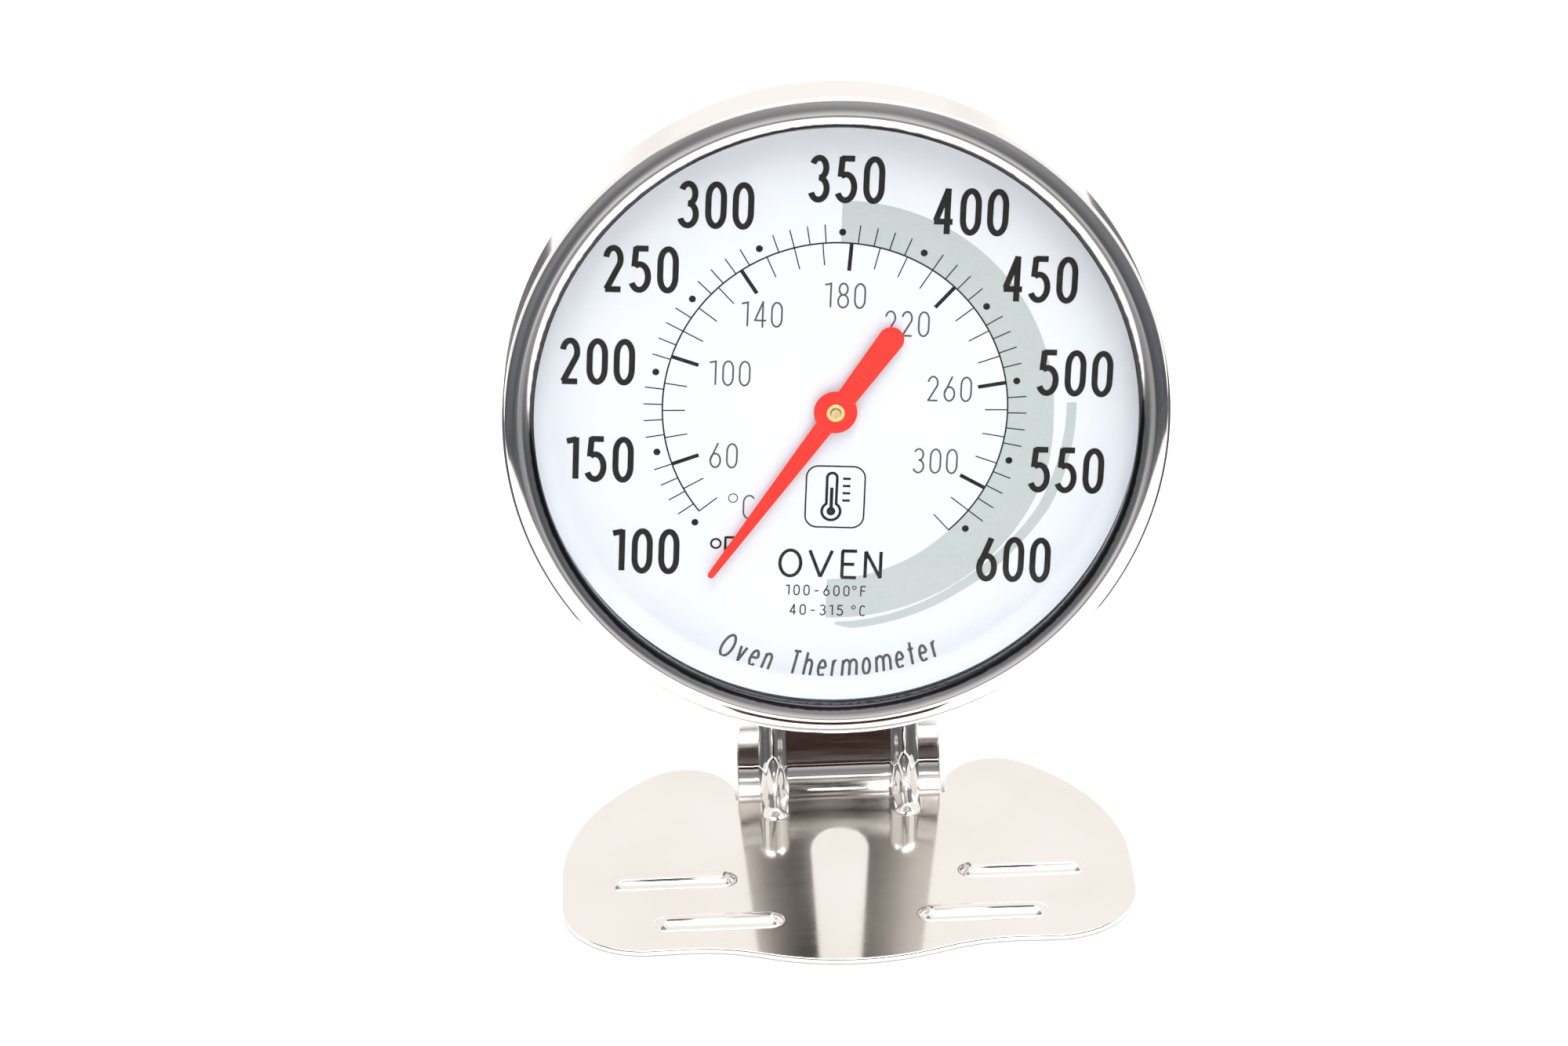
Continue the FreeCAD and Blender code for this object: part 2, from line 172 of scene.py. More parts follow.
def turned(name, corners, place=HEAD, steps=256, turn=8.0, sharp=30.0):
    """Closed solid of revolution about Z from (radius, z, round) corners."""
    line = rounded(corners, turn)
    after = np.roll(line, -1, axis=0)
    if np.sum(line[:, 0] * after[:, 1] - after[:, 0] * line[:, 1]) < 0:
        line = line[::-1]
        after = np.roll(line, -1, axis=0)
    run = after - line
    length = np.linalg.norm(run, axis=1)
    facing = np.stack((run[:, 1], -run[:, 0]), 1) / length[:, None]
    previous = np.roll(facing, 1, axis=0)
    weight = np.roll(length, 1)
    blend = facing * length[:, None] + previous * weight[:, None]
    blend /= np.linalg.norm(blend, axis=1)[:, None]
    smooth = np.sum(facing * previous, 1) > math.cos(math.radians(sharp))
    leaving = np.where(smooth[:, None], blend, facing)
    arriving = np.roll(np.where(smooth[:, None], blend, previous), -1, axis=0)
    angles = np.arange(steps) * 2 * math.pi / steps
    points, starts = [], []
    for r, z in line:
        starts.append(len(points))
        if r < 1e-6:
            points.append((0, 0, z))
        else:
            points += [(r * math.cos(a), r * math.sin(a), z) for a in angles]
    faces, normals = [], []
    for i in range(len(line)):
        j = (i + 1) % len(line)
        low_pole, high_pole = line[i][0] < 1e-6, line[j][0] < 1e-6
        if low_pole and high_pole:
            continue
        for k in range(steps):
            n = (k + 1) % steps
            a = starts[i] + (0 if low_pole else k)
            b = starts[i] + (0 if low_pole else n)
            c = starts[j] + (0 if high_pole else n)
            d = starts[j] + (0 if high_pole else k)
            ring = [(a, leaving[i], k), (b, leaving[i], n), (c, arriving[i], n), (d, arriving[i], k)]
            if low_pole:
                ring.pop(1)
            if high_pole:
                ring.pop(2)
            faces.append([vertex for vertex, _, _ in ring])
            normals += [(v[0] * math.cos(angles[m]), v[0] * math.sin(angles[m]), v[1])
                        for _, v, m in ring]
    mesh = new_mesh(name, moved(place, np.array(points, float)), faces)
    mesh.normals_split_custom_set(spun(place, np.array(normals)).tolist())
    return mesh


# --- sheet parts
def inside(loop, x, y):
    """Which points are inside a closed outline."""
    result = np.zeros(len(x), bool)
    for (ax, ay), (bx, by) in zip(loop, np.roll(loop, -1, axis=0)):
        if ay == by:
            continue
        crosses = (ay > y) != (by > y)
        result ^= crosses & (x < (bx - ax) * (y - ay) / (by - ay) + ax)
    return result


def in_sheet(loops, points):
    """Inside the first loop and outside the others."""
    keep = inside(loops[0], points[:, 0], points[:, 1])
    for hole in loops[1:]:
        keep &= ~inside(hole, points[:, 0], points[:, 1])
    return keep


def distance_to(loop, x, y):
    nearest = np.full(len(x), 1e9)
    for (ax, ay), (bx, by) in zip(loop, np.roll(loop, -1, axis=0)):
        length = (bx - ax) ** 2 + (by - ay) ** 2
        t = np.clip(((x - ax) * (bx - ax) + (y - ay) * (by - ay)) / length, 0, 1)
        nearest = np.minimum(nearest, np.hypot(x - ax - t * (bx - ax), y - ay - t * (by - ay)))
    return nearest


def grid(x0, x1, y0, y1, step_x, step_y):
    """Evenly spaced points, skewed a hair so that every cell splits alike."""
    xs = np.linspace(x0, x1, max(2, round((x1 - x0) / step_x) + 1))
    ys = np.linspace(y0, y1, max(2, round((y1 - y0) / step_y) + 1))
    gx, gy = np.meshgrid(xs, ys)
    return np.stack(((gx + gy * 1e-5).ravel(), (gy + gx * 1e-5).ravel()), 1)


def outward(loop):
    """Direction out of a loop that runs counter-clockwise, at each point."""
    run = np.roll(loop, -1, axis=0) - np.roll(loop, 1, axis=0)
    side = np.stack((run[:, 1], -run[:, 0]), 1)
    return side / np.linalg.norm(side, axis=1)[:, None]


def face_normals(points, triangles, count):
    """Normals of a surface at its first count points."""
    a, b, c = (points[triangles[:, k]] for k in range(3))
    normal = np.cross(b - a, c - a)
    total = np.zeros((count, 3))
    for k in range(3):
        np.add.at(total, triangles[:, k], normal)
    return total / np.maximum(np.linalg.norm(total, axis=1), 1e-12)[:, None]


def sheet(name, loops, fill, lay, thick, edge, height=None):
    """Sheet part with softened edges. The first loop is its outline and runs
    counter-clockwise; the others are holes and run clockwise. lay gives the
    middle of the sheet, its two directions and its normal; height, what is
    pressed up out of it."""
    sides = [outward(loop) for loop in loops]
    inner = [loop - side * edge for loop, side in zip(loops, sides)]
    flat = [point for loop in inner for point in loop]
    flat = np.concatenate((np.array(flat), fill[in_sheet(inner, fill)]))
    edges, first = [], 0
    for loop in inner:
        count = len(loop)
        edges += [(first + k, first + (k + 1) % count) for k in range(count)]
        first += count
    found = delaunay_2d_cdt([Vector(p) for p in flat], edges, [], 0, 1e-7)
    place_of = np.zeros(len(found[0]), int)
    for i, sources in enumerate(found[3]):
        place_of[i] = sources[0]
    triangles = np.array([[place_of[v] for v in f] for f in found[2]])
    triangles = triangles[in_sheet(inner, flat[triangles].mean(1))]
    corners = flat[triangles]
    ab, ac = corners[:, 1] - corners[:, 0], corners[:, 2] - corners[:, 0]
    wrong = ab[:, 0] * ac[:, 1] - ab[:, 1] * ac[:, 0] < 0
    triangles[wrong] = triangles[wrong][:, ::-1]

    place, across, along, normal = lay(flat[:, 0], flat[:, 1])
    rise = height(flat[:, 0], flat[:, 1]) if height else np.zeros(len(flat))
    count = len(flat)
    half = thick / 2
    top = place + normal * (half + rise)[:, None]
    bottom = place + normal * (rise - half)[:, None]
    points = [top, bottom]
    normals = [face_normals(top, triangles, count),
               face_normals(bottom, triangles[:, ::-1], count)]
    faces = triangles.tolist() + (triangles[:, ::-1] + count).tolist()
    used, first = 2 * count, 0
    for loop, side in zip(loops, sides):
        here = slice(first, first + len(loop))
        out = across[here] * side[:, :1] + along[here] * side[:, 1:]
        rows = [np.arange(first, first + len(loop))]
        for reach, drop, lean in rim_steps(thick, edge):
            points.append(place[here] + out * reach + normal[here] * (drop + rise[here])[:, None])
            normals.append(out * math.cos(lean) + normal[here] * math.sin(lean))
            rows.append(np.arange(used, used + len(loop)))
            used += len(loop)
        rows.append(rows[0] + count)
        for upper, lower in zip(rows, rows[1:]):
            faces += np.stack((upper, lower, np.roll(lower, -1), np.roll(upper, -1)), 1).tolist()
        first += len(loop)
    mesh = new_mesh(name, np.concatenate(points), faces)
    mesh.normals_split_custom_set_from_vertices(np.concatenate(normals).tolist())
    return mesh


def rim_steps(thick, edge):
    """(how far out, how high, slope of the normal) down a rounded sheet edge."""
    half = thick / 2
    steps = []
    for part in (1, 2, 3):
        lean = math.radians(90 - 30 * part)
        steps.append((edge * math.cos(lean), half - edge + edge * math.sin(lean), lean))
    return steps + [(reach, -drop, -lean) for reach, drop, lean in reversed(steps)]


# --- stand
def stand_lay(x, v):
    """Places of the flat blank's points on the folded sheet."""
    folded = (v > 0) & (np.abs(x) < NECK_HALF)
    up = np.array((math.sin(math.radians(LEAN)), math.cos(math.radians(LEAN))))
    out = np.array((-up[1], up[0]))
    corner = np.array((BEND_Y, SHEET))
    place = np.stack((BEND_Y - REACH + v, np.full(len(v), MID)), 1)
    along = np.tile((1.0, 0.0), (len(v), 1))
    normal = np.tile((0.0, 1.0), (len(v), 1))

    bend = folded & (v <= BEND_STOP)
    turn = v[bend] / (BEND_R + MID)
    spoke = np.stack((np.sin(turn), -np.cos(turn)), 1)
    place[bend] = np.array((BEND_Y - REACH, SHEET + BEND_R)) + (BEND_R + MID) * spoke
    along[bend] = np.stack((np.cos(turn), np.sin(turn)), 1)
    normal[bend] = -spoke

    upright = folded & (v > BEND_STOP) & (v <= UPRIGHT_STOP)
    rise = REACH + v[upright] - BEND_STOP
    place[upright] = corner + rise[:, None] * up - MID * out
    along[upright] = up
    normal[upright] = out

    fold = folded & (v > UPRIGHT_STOP) & (v <= FOLD_STOP)
    turn = ((v[fold] - UPRIGHT_STOP) / (FOLD_R + MID))[:, None]
    place[fold] = corner + (UPRIGHT_END + (FOLD_R + MID) * np.sin(turn)) * up
    place[fold] += (FOLD_R - (FOLD_R + MID) * np.cos(turn)) * out
    along[fold] = np.cos(turn) * up + np.sin(turn) * out
    normal[fold] = np.cos(turn) * out - np.sin(turn) * up

    pad = folded & (v > FOLD_STOP)
    rise = UPRIGHT_END - (v[pad] - FOLD_STOP)
    place[pad] = corner + rise[:, None] * up + (2 * FOLD_R + MID) * out
    along[pad] = -up
    normal[pad] = -out

    nothing = np.zeros(len(v))
    across = np.tile((1.0, 0.0, 0.0), (len(v), 1))
    return (np.stack((x, place[:, 0], place[:, 1]), 1), across,
            np.stack((nothing, along[:, 0], along[:, 1]), 1),
            np.stack((nothing, normal[:, 0], normal[:, 1]), 1))


def softened(height, soft=0.3):
    """Nothing below zero, with a small round where the height starts."""
    start = np.clip(height + soft, 0, 2 * soft) ** 2 / (4 * soft)
    return np.where(height > soft, height, start)


def bead_drop(away):
    """Drop from a bead's crest, this far to its side: round, then straight."""
    radius = (BEAD_HALF ** 2 + BEAD_RISE ** 2) / (2 * BEAD_RISE)
    near = np.minimum(away, BEAD_HALF * 0.94)
    return radius - np.sqrt(radius ** 2 - near ** 2) + BEAD_FLANK * (away - near)


def bead_height(x, v):
    total = np.zeros(len(x))
    for bead_x, bead_y in BEAD_PLACES:
        beyond = np.maximum(np.abs(np.abs(x) - bead_x) - (BEAD_LENGTH / 2 - BEAD_HALF), 0)
        away = np.hypot(beyond, v - REACH - bead_y)
        total += softened(BEAD_RISE - bead_drop(away))
    return total


def crest(v):
    """Height of a rib's crest over the sheet: it cuts the bend's corner."""
    half = math.pi / 2 - BEND_TURN / 2
    lift = RIB_RISE + RIB_CREST_R
    straight = lift / math.tan(half)
    apart = (lift - BEND_R) / math.sin(half)
    from_corner = np.where(v < 0, REACH - v, REACH + v - BEND_STOP)
    inward = np.clip(straight - from_corner, 0, RIB_CREST_R)
    flat = lift - np.sqrt(RIB_CREST_R ** 2 - inward ** 2)
    turn = np.clip(v / (BEND_R + MID), 0, BEND_TURN) - BEND_TURN / 2
    reach = np.sqrt(RIB_CREST_R ** 2 - (apart * np.sin(turn)) ** 2) - apart * np.cos(turn)
    return np.where((v > 0) & (v < BEND_STOP), BEND_R - reach, flat)


def rib_height(x, v):
    """Both ribs, each falling to nothing in one smooth wave."""
    before = (REACH - v) - RIB_FOOT
    beyond = (REACH + v - BEND_STOP) - RIB_UP
    away = np.hypot(np.maximum(np.maximum(before, beyond), 0), np.abs(x) - RIB_X)
    flank = np.clip(away / RIB_SPREAD, 0, 1)
    return crest(v) * (0.5 + 0.5 * np.cos(math.pi * flank))


def stand_height(x, v):
    on_strip = np.abs(x) < NECK_HALF
    return bead_height(x, v) + np.where(on_strip, rib_height(x, v), 0)


def stand_outline():
    edge = NECK_HALF - SLIT_R
    taper_start = BEND_STOP + SLIT_R / NECK_TAPER
    right = [(16.5, -37.2 + REACH, 25.0), (36.4, -37.7 + REACH, 10.7),
             (36.4, -5.4 + REACH, 29.0), (NECK_HALF + SLIT_R, 11.45 + REACH, 6.75),
             (NECK_HALF + SLIT_R, -SLIT_R, SLIT_R * 0.99),
             (edge, -SLIT_R, SLIT_R * 0.99), (edge, taper_start, 0),
             (PAD_HALF, UPRIGHT_STOP, 0), (PAD_HALF, BLANK_END, 4.0)]
    left = [(-x, v, radius) for x, v, radius in reversed(right)]
    return divided(rounded([(0, -42.6 + REACH, 32.0)] + right + left, 8.0, 0.5), 0.5)


def slot_outline():
    """Hanging slot: two round ends with tapering sides."""
    low = BEND_STOP + SLOT_LOW - REACH
    high = BEND_STOP + SLOT_HIGH - REACH
    lean = math.asin((SLOT_HALF - SLOT_TOP_HALF) / (SLOT_HIGH - SLOT_LOW))
    points = []
    for k in range(25):
        angle = math.pi - lean - (math.pi - 2 * lean) * k / 24
        points.append((SLOT_TOP_HALF * math.cos(angle), high + SLOT_TOP_HALF * math.sin(angle)))
    for k in range(37):
        angle = lean - (math.pi + 2 * lean) * k / 36
        points.append((SLOT_HALF * math.cos(angle), low + SLOT_HALF * math.sin(angle)))
    return divided(np.array(points), 0.5)


def stand_fill(outline, slot):
    """Points inside the blank, close together where it is pressed or bent.
    Each zone is (left, right, low, high, step across, step along)."""
    bead_x_reach, bead_v_reach = BEAD_LENGTH / 2 + 0.5, 2.3
    rib_reach, rib_end, strip_edge, bend_margin = 2.4, 2.1, 13.0, 0.4
    beside_rib = RIB_X + rib_reach + 0.1
    zones = []
    for side in (-1, 1):
        for bead_x, bead_y in BEAD_PLACES:
            middle, level = side * bead_x, bead_y + REACH
            zones.append((middle - bead_x_reach, middle + bead_x_reach,
                          level - bead_v_reach, level + bead_v_reach, 0.2, 0.11))
        zones.append((side * RIB_X - rib_reach, side * RIB_X + rib_reach,
                      REACH - RIB_FOOT - rib_end, BEND_STOP - REACH + RIB_UP + rib_end, 0.15, 0.2))
    inner = RIB_X - rib_reach - 0.1
    for x0, x1 in ((-strip_edge, -beside_rib), (-inner, inner), (beside_rib, strip_edge)):
        zones.append((x0, x1, -bend_margin, BEND_STOP + bend_margin, 1.2, 0.22))
    zones.append((-PAD_HALF, PAD_HALF, UPRIGHT_STOP - 0.5, FOLD_STOP + 0.5, 1.6, 0.5))
    fine = np.concatenate([grid(*zone) for zone in zones])
    coarse = grid(-36, 36, -41, BLANK_END, 1.5, 1.5)
    keep_clear, keep_off = 0.2, 0.8
    clear = np.ones(len(coarse), bool)
    for x0, x1, v0, v1, _, _ in zones:
        clear &= ~((coarse[:, 0] > x0 - keep_clear) & (coarse[:, 0] < x1 + keep_clear)
                   & (coarse[:, 1] > v0 - keep_clear) & (coarse[:, 1] < v1 + keep_clear))
    far = np.ones(len(fine), bool)
    for loop in (outline, slot):
        clear &= distance_to(loop, coarse[:, 0], coarse[:, 1]) > keep_off
        far &= distance_to(loop, fine[:, 0], fine[:, 1]) > EDGE_ROUND + 0.12
    return np.concatenate((coarse[clear], fine[far]))


def build_stand():
    outline, slot = stand_outline(), slot_outline()
    fill = stand_fill(outline, slot)
    mesh = sheet("stand_sheet", [outline, slot], fill, stand_lay, SHEET, EDGE_ROUND, stand_height)
    return add_piece(mesh, "case", stand_steel(), ["stand"])


# --- case
def build_bezel():
    mesh = turned("bezel_polished", [
        (37.1, -0.9, 0), (37.1, 0.1, 0.5), (39.0, 1.1, 3.2), (41.0, 0.1, 0.88),
        (41.0, -8.6, 0.7), (38.9, -8.6, 0.12), (38.9, -8.1, 0.1), (40.5, -8.1, 0.2),
        (40.5, -0.3, 0.4), (39.0, 0.42, 1.3), (37.6, -0.3, 0), (37.6, -0.9, 0)],
        steps=384, turn=4.0)
    return add_piece(mesh, "case", bezel_steel(), ["bezel_ring"])


def build_lens():
    mesh = turned("window_glass", [
        (0, -0.92, 0), (40.2, -0.92, 0.15), (40.2, -2.48, 0.15), (0, -2.48, 0)], steps=192)
    return add_piece(mesh, "case", window_glass(), ["lens"])


def build_gasket():
    mesh = turned("window_gasket", [
        (37.4, -3.08, 0.12), (40.15, -3.08, 0.12), (40.15, -2.52, 0.12), (37.4, -2.52, 0.12)],
        steps=192)
    return add_piece(mesh, "case", gasket_rubber(), ["lens_gasket"])


def build_dial():
    mesh = turned("dial_enamelled", [
        (1.7, -5.6, 0.08), (36.5, -5.6, 2.2), (37.5, -3.1, 0.6), (40.2, -3.1, 0.1),
        (40.2, -3.4, 0.1), (37.8, -3.4, 0.5), (36.7, -5.9, 2.4), (1.7, -5.9, 0.08)],
        steps=256, turn=6.0)
    return add_piece(mesh, "case", dial_enamel(), ["dial_plate"])


def build_pan():
    mesh = turned("case_drawn", [
        (40.35, -3.4, 0.1), (40.35, -8.1, 0.6), (38.2, -8.1, 0.5), (38.2, -13.0, 2.0),
        (0, -13.0, 0), (0, -12.5, 0), (37.7, -12.5, 1.5), (37.7, -7.6, 0.6),
        (39.85, -7.6, 0.3), (39.85, -3.4, 0.1)], steps=256)
    return add_piece(mesh, "case", case_steel(), ["case_pan"])


def build_mounting_rivet(side, x):
    place = HEAD @ Matrix.Translation((x, 0, 0))
    mesh = turned("rivet_" + side, [
        (0, -14.8, 0), (1.0, -14.74, 1.6), (2.05, -14.25, 0.8), (2.4, -13.8, 0.12),
        (1.25, -13.8, 0), (1.25, -11.9, 0), (2.0, -11.9, 0.1), (2.0, -11.3, 0.25),
        (0, -11.3, 0)], place, steps=48)
    return add_piece(mesh, "case", rivet_steel(), ["mounting_rivet_" + side])


# --- pointer
def bow(cx, cy, rx, ry, start, stop, steps=None):
    """Part of an ellipse, as a run of points."""
    steps = steps or max(3, round(abs(stop - start) / 10))
    angles = np.radians(np.linspace(start, stop, steps + 1))
    return [(cx + rx * math.cos(a), cy + ry * math.sin(a)) for a in angles]


def oval(cx, cy, rx, ry):
    return bow(cx, cy, rx, ry, 0, 350)


def pointer_lay(x, y):
    count = len(x)
    height = np.full(count, (POINTER_BACK + POINTER_FRONT) / 2)
    place = moved(POINTER, np.stack((x, y, height), 1))
    return (place, *(np.tile(spun(POINTER, axis), (count, 1)) for axis in np.eye(3)))


def build_pointer():
    hub, tip, tip_half, tail, tail_half = 2.68, 26.6, 0.42, -13.1, 1.6
    blade_root, tail_root = 1.15, 1.28
    blade_angle = math.degrees(math.acos(blade_root / hub))
    tail_angle = math.degrees(math.acos(tail_root / hub))
    right = bow(0, tail + tail_half, tail_half, tail_half, -90, -2, 20)
    right += bow(0, 0, hub, hub, -tail_angle, blade_angle, 40)
    right += bow(0, tip - tip_half, tip_half, tip_half, 2, 90, 10)
    left = [(-x, y) for x, y in reversed(right[1:-1])]
    outline = divided(np.array(right + left), 0.8)
    hole = np.array(bow(0, 0, POINTER_HOLE_R, POINTER_HOLE_R, 0, -348.75, 31))
    fill = grid(-2.4, 2.4, tail + 1, tip - 1, 0.8, 0.8)
    for loop in (outline, hole):
        fill = fill[distance_to(loop, fill[:, 0], fill[:, 1]) > 0.3]
    mesh = sheet("pointer_lacquered", [outline, hole], fill, pointer_lay,
                 POINTER_FRONT - POINTER_BACK, 0.13)
    return add_piece(mesh, "pointer", pointer_red(), ["pointer"])


def build_eyelet():
    mesh = turned("eyelet_turned", [
        (0.6, -5.2, 0), (1.6, -5.2, 0.08), (1.6, -4.6, 0.08), (0.95, -4.6, 0),
        (0.95, -4.2, 0), (1.15, -4.2, 0.05), (1.15, -3.92, 0.14), (0.62, -3.92, 0.12),
        (0.6, -4.2, 0)], steps=64)
    return add_piece(mesh, "pointer", brass(), ["pointer_eyelet"])


# --- print
def ribbon(points, width, closed, top, bottom):
    """Flat printed line of constant width: its points and faces."""
    line = np.array(points, float)
    before, after = np.roll(line, 1, axis=0), np.roll(line, -1, axis=0)
    arrive, leave = line - before, after - line
    if not closed:
        arrive[0], leave[-1] = leave[0], arrive[-1]
    arrive /= np.linalg.norm(arrive, axis=1)[:, None]
    leave /= np.linalg.norm(leave, axis=1)[:, None]
    middle = arrive + leave
    middle /= np.linalg.norm(middle, axis=1)[:, None]
    mitre = 1 / np.maximum(np.sum(middle * leave, 1), 0.5)
    side = np.stack((-middle[:, 1], middle[:, 0]), 1) * (mitre * width / 2)[:, None]
    left, right = line + side, line - side
    return strip(left, right, closed, top, bottom)


def strip(left, right, closed, top, bottom):
    """Flat bar between two rails: its points and faces."""
    count = len(left)
    rows = [np.column_stack((rail, np.full(count, z)))
            for rail, z in ((left, top), (right, top), (right, bottom), (left, bottom))]
    faces = []
    for i in range(count if closed else count - 1):
        j = (i + 1) % count
        for k in range(4):
            n = (k + 1) % 4
            faces.append((k * count + i, n * count + i, n * count + j, k * count + j))
    if not closed:
        last = count - 1
        faces.append((0, 3 * count, 2 * count, count))
        faces.append((last, count + last, 2 * count + last, 3 * count + last))
    return np.concatenate(rows), faces


class Print:
    """Ink on the dial, gathered line by line into one mesh."""

    def __init__(self, top=0.014):
        self.points, self.faces, self.used, self.lines = [], [], 0, 0
        self.top = top

    def add(self, points, faces):
        self.points.append(points)
        self.faces += [[v + self.used for v in face] for face in faces]
        self.used += len(points)

    def line(self, points, width, closed=False):
        lift = 0.001 * (self.lines % 9)
        self.lines += 1
        self.add(*ribbon(points, width, closed, DIAL_FACE + self.top + lift, INK_ROOT))

    def mesh(self, name):
        made = new_mesh(name, moved(PRINT, np.concatenate(self.points)), self.faces)
        made.shade_flat()
        return made


# Letters are lists of lines in a box one wide and one high; a line given as a
# tuple is closed. Small letters are 0.68 high.
def letter(sign):
    low = 0.68
    shapes = {
        "0": [tuple(bow(0.5, 0.68, 0.5, 0.32, 0, 180) + bow(0.5, 0.32, 0.5, 0.32, 180, 360))],
        "1": [[(0.7, 0.0), (0.7, 1.03)], [(0.08, 0.93), (0.74, 0.985)]],
        "2": [bow(0.48, 0.73, 0.47, 0.27, 170, -28) + [(0.06, 0.0)], [(-0.02, 0.0), (1.0, 0.0)]],
        "3": [bow(0.46, 0.76, 0.45, 0.24, 155, -90), bow(0.46, 0.265, 0.52, 0.265, 92, -158)],
        "4": [[(0.78, 1.04), (0.02, 0.27)], [(-0.1, 0.25), (1.12, 0.25)],
              [(0.76, 1.05), (0.76, -0.05)]],
        "5": [[(0.12, 1.0), (0.98, 1.0)], [(0.18, 1.04), (0.08, 0.56)],
              bow(0.43, 0.31, 0.56, 0.31, 125, -152)],
        "6": [[(0.74, 1.03), (0.4, 0.7), (0.14, 0.46), (0.03, 0.34)],
              tuple(oval(0.5, 0.29, 0.5, 0.29))],
        "8": [tuple(oval(0.5, 0.765, 0.42, 0.235)), tuple(oval(0.5, 0.265, 0.5, 0.265))],
        "-": [[(0.1, 0.45), (0.9, 0.45)]],
        "C": [bow(0.5, 0.7, 0.5, 0.3, 35, 180) + bow(0.5, 0.3, 0.5, 0.3, 180, 325)],
        "F": [[(0.0, -0.03), (0.0, 1.03)], [(0.0, 1.0), (0.95, 1.0)], [(0.0, 0.53), (0.82, 0.53)]],
        "O": [tuple(oval(0.5, 0.5, 0.5, 0.5))],
        "T": [[(0.0, 1.0), (1.0, 1.0)], [(0.5, 1.0), (0.5, 0.0)]],
        "v": [[(0.05, low), (0.5, 0.0)], [(0.5, 0.0), (0.95, low)]],
        "e": [[(0.03, 0.36), (0.97, 0.36)], bow(0.5, 0.34, 0.5, 0.34, 5, 315)],
        "n": [[(0.04, 0.0), (0.04, low)], bow(0.5, 0.44, 0.46, 0.24, 175, 0) + [(0.96, 0.0)]],
        "h": [[(0.04, 0.0), (0.04, 1.0)], bow(0.5, 0.44, 0.46, 0.24, 175, 0) + [(0.96, 0.0)]],
        "r": [[(0.1, 0.0), (0.1, low)], bow(0.62, 0.4, 0.5, 0.27, 165, 62)],
        "m": [[(0.0, 0.0), (0.0, low)], bow(0.26, 0.44, 0.26, 0.24, 175, 0) + [(0.52, 0.0)],
              bow(0.78, 0.44, 0.26, 0.24, 175, 0) + [(1.04, 0.0)]],
        "o": [tuple(oval(0.5, 0.34, 0.5, 0.34))],
        "t": [[(0.5, 0.98), (0.5, 0.0)], [(-0.3, low), (1.3, low)]],
    }
    return [(list(line), isinstance(line, tuple)) for line in shapes[sign]]


def scale_angle(fahrenheit):
    """Clockwise from the print's top, in degrees."""
    return (fahrenheit - 350) / 50 * 26.39


def write(ink, text, cx, cy, height, wide, pitch, stroke):
    """A level word with its middle at (cx, cy)."""
    gaps = [pitch * (0.87 if "1" in pair else 1.0) for pair in zip(text, text[1:])]
    start = cx - (sum(gaps) + wide) / 2
    for i, sign in enumerate(text):
        left = start + sum(gaps[:i])
        for points, closed in letter(sign):
            line = []
            for x, y in points:
                up = stroke / 2 + y * (height - stroke)
                line.append((left + stroke / 2 + x * (wide - stroke), cy - height / 2 + up))
            ink.line(line, stroke, closed)


def write_round(ink, text, radius, first, last, height, stroke):
    """A word whose feet stand on a circle under the middle of the dial."""
    widths = {"m": 1.6, "O": 1.35, "T": 1.0, "r": 0.62, "t": 0.62, " ": 0.9}
    spans = [widths.get(sign, 0.95) for sign in text]
    gap, slant = 0.42, 0.12
    whole = sum(spans) + gap * (len(text) - 1)
    used = 0.0
    for sign, span in zip(text, spans):
        if sign != " ":
            wide = span / whole * math.radians(last - first) * radius
            for points, closed in letter(sign):
                line = []
                for x, y in points:
                    up = stroke / 2 + y * (height - stroke)
                    across = (used / whole) * math.radians(last - first) * radius
                    across += stroke / 2 + x * (wide - stroke) + slant * up
                    angle = math.radians(first) + across / radius
                    reach = radius - up
                    line.append((reach * math.sin(angle), -reach * math.cos(angle)))
                ink.line(line, stroke, closed)
        used += span + gap


def print_numbers():
    ink = Print(0.016)
    places = {350: 0.5}
    for k, angle in enumerate((31.2, 54.7, 79.6, 103.9, 129.6)):
        places[300 - 50 * k], places[400 + 50 * k] = -angle, angle
    for number in sorted(places):
        angle = math.radians(places[number])
        radius = 29.33 if number == 350 else 30.0
        write(ink, str(number), radius * math.sin(angle), radius * math.cos(angle),
              6.0, 2.63, 3.33, 0.76)
    write(ink, "F", -12.4, -18.5, 3.2, 1.5, 2.0, 0.3)
    ink.line(oval(-14.18, -17.9, 0.6, 0.6), 0.25, True)
    return add_piece(ink.mesh("print_fahrenheit_numbers"), "case", black_ink())


def print_small_numbers():
    ink = Print()
    places = {60: (-13.58, -6.36), 100: (-13.25, 4.33), 140: (-9.56, 11.98), 180: (0.55, 14.65),
              220: (8.41, 11.25), 260: (14.03, 3.01), 300: (12.72, -6.41)}
    for number, (x, y) in places.items():
        write(ink, str(number), x, y, 3.3, 1.45, 2.05, 0.22)
    write(ink, "C", -10.2, -13.0, 3.2, 1.6, 2.0, 0.2)
    ink.line(oval(-12.23, -11.87, 0.55, 0.55), 0.13, True)
    write_round(ink, "Oven Thermometer", 35.4, -23.0, 24.2, 3.4, 0.34)
    return add_piece(ink.mesh("print_celsius_numbers"), "case", grey_ink())


def print_scale_line():
    ink = Print(0.01)
    angles = np.radians(np.linspace(scale_angle(104), scale_angle(608), 181))
    ink.line([(SCALE_LINE_R * math.sin(a), SCALE_LINE_R * math.cos(a)) for a in angles], 0.2)
    return add_piece(ink.mesh("print_scale_line"), "case", black_ink())


def edge_points(start, stop, steps, angles, radii):
    """Run of points whose radius changes with the angle."""
    result = []
    for k in range(steps + 1):
        angle = start + (stop - start) * k / steps
        radius = np.interp(angle, angles, radii)
        result.append((radius * math.sin(math.radians(angle)),
                       radius * math.cos(math.radians(angle))))
    return result


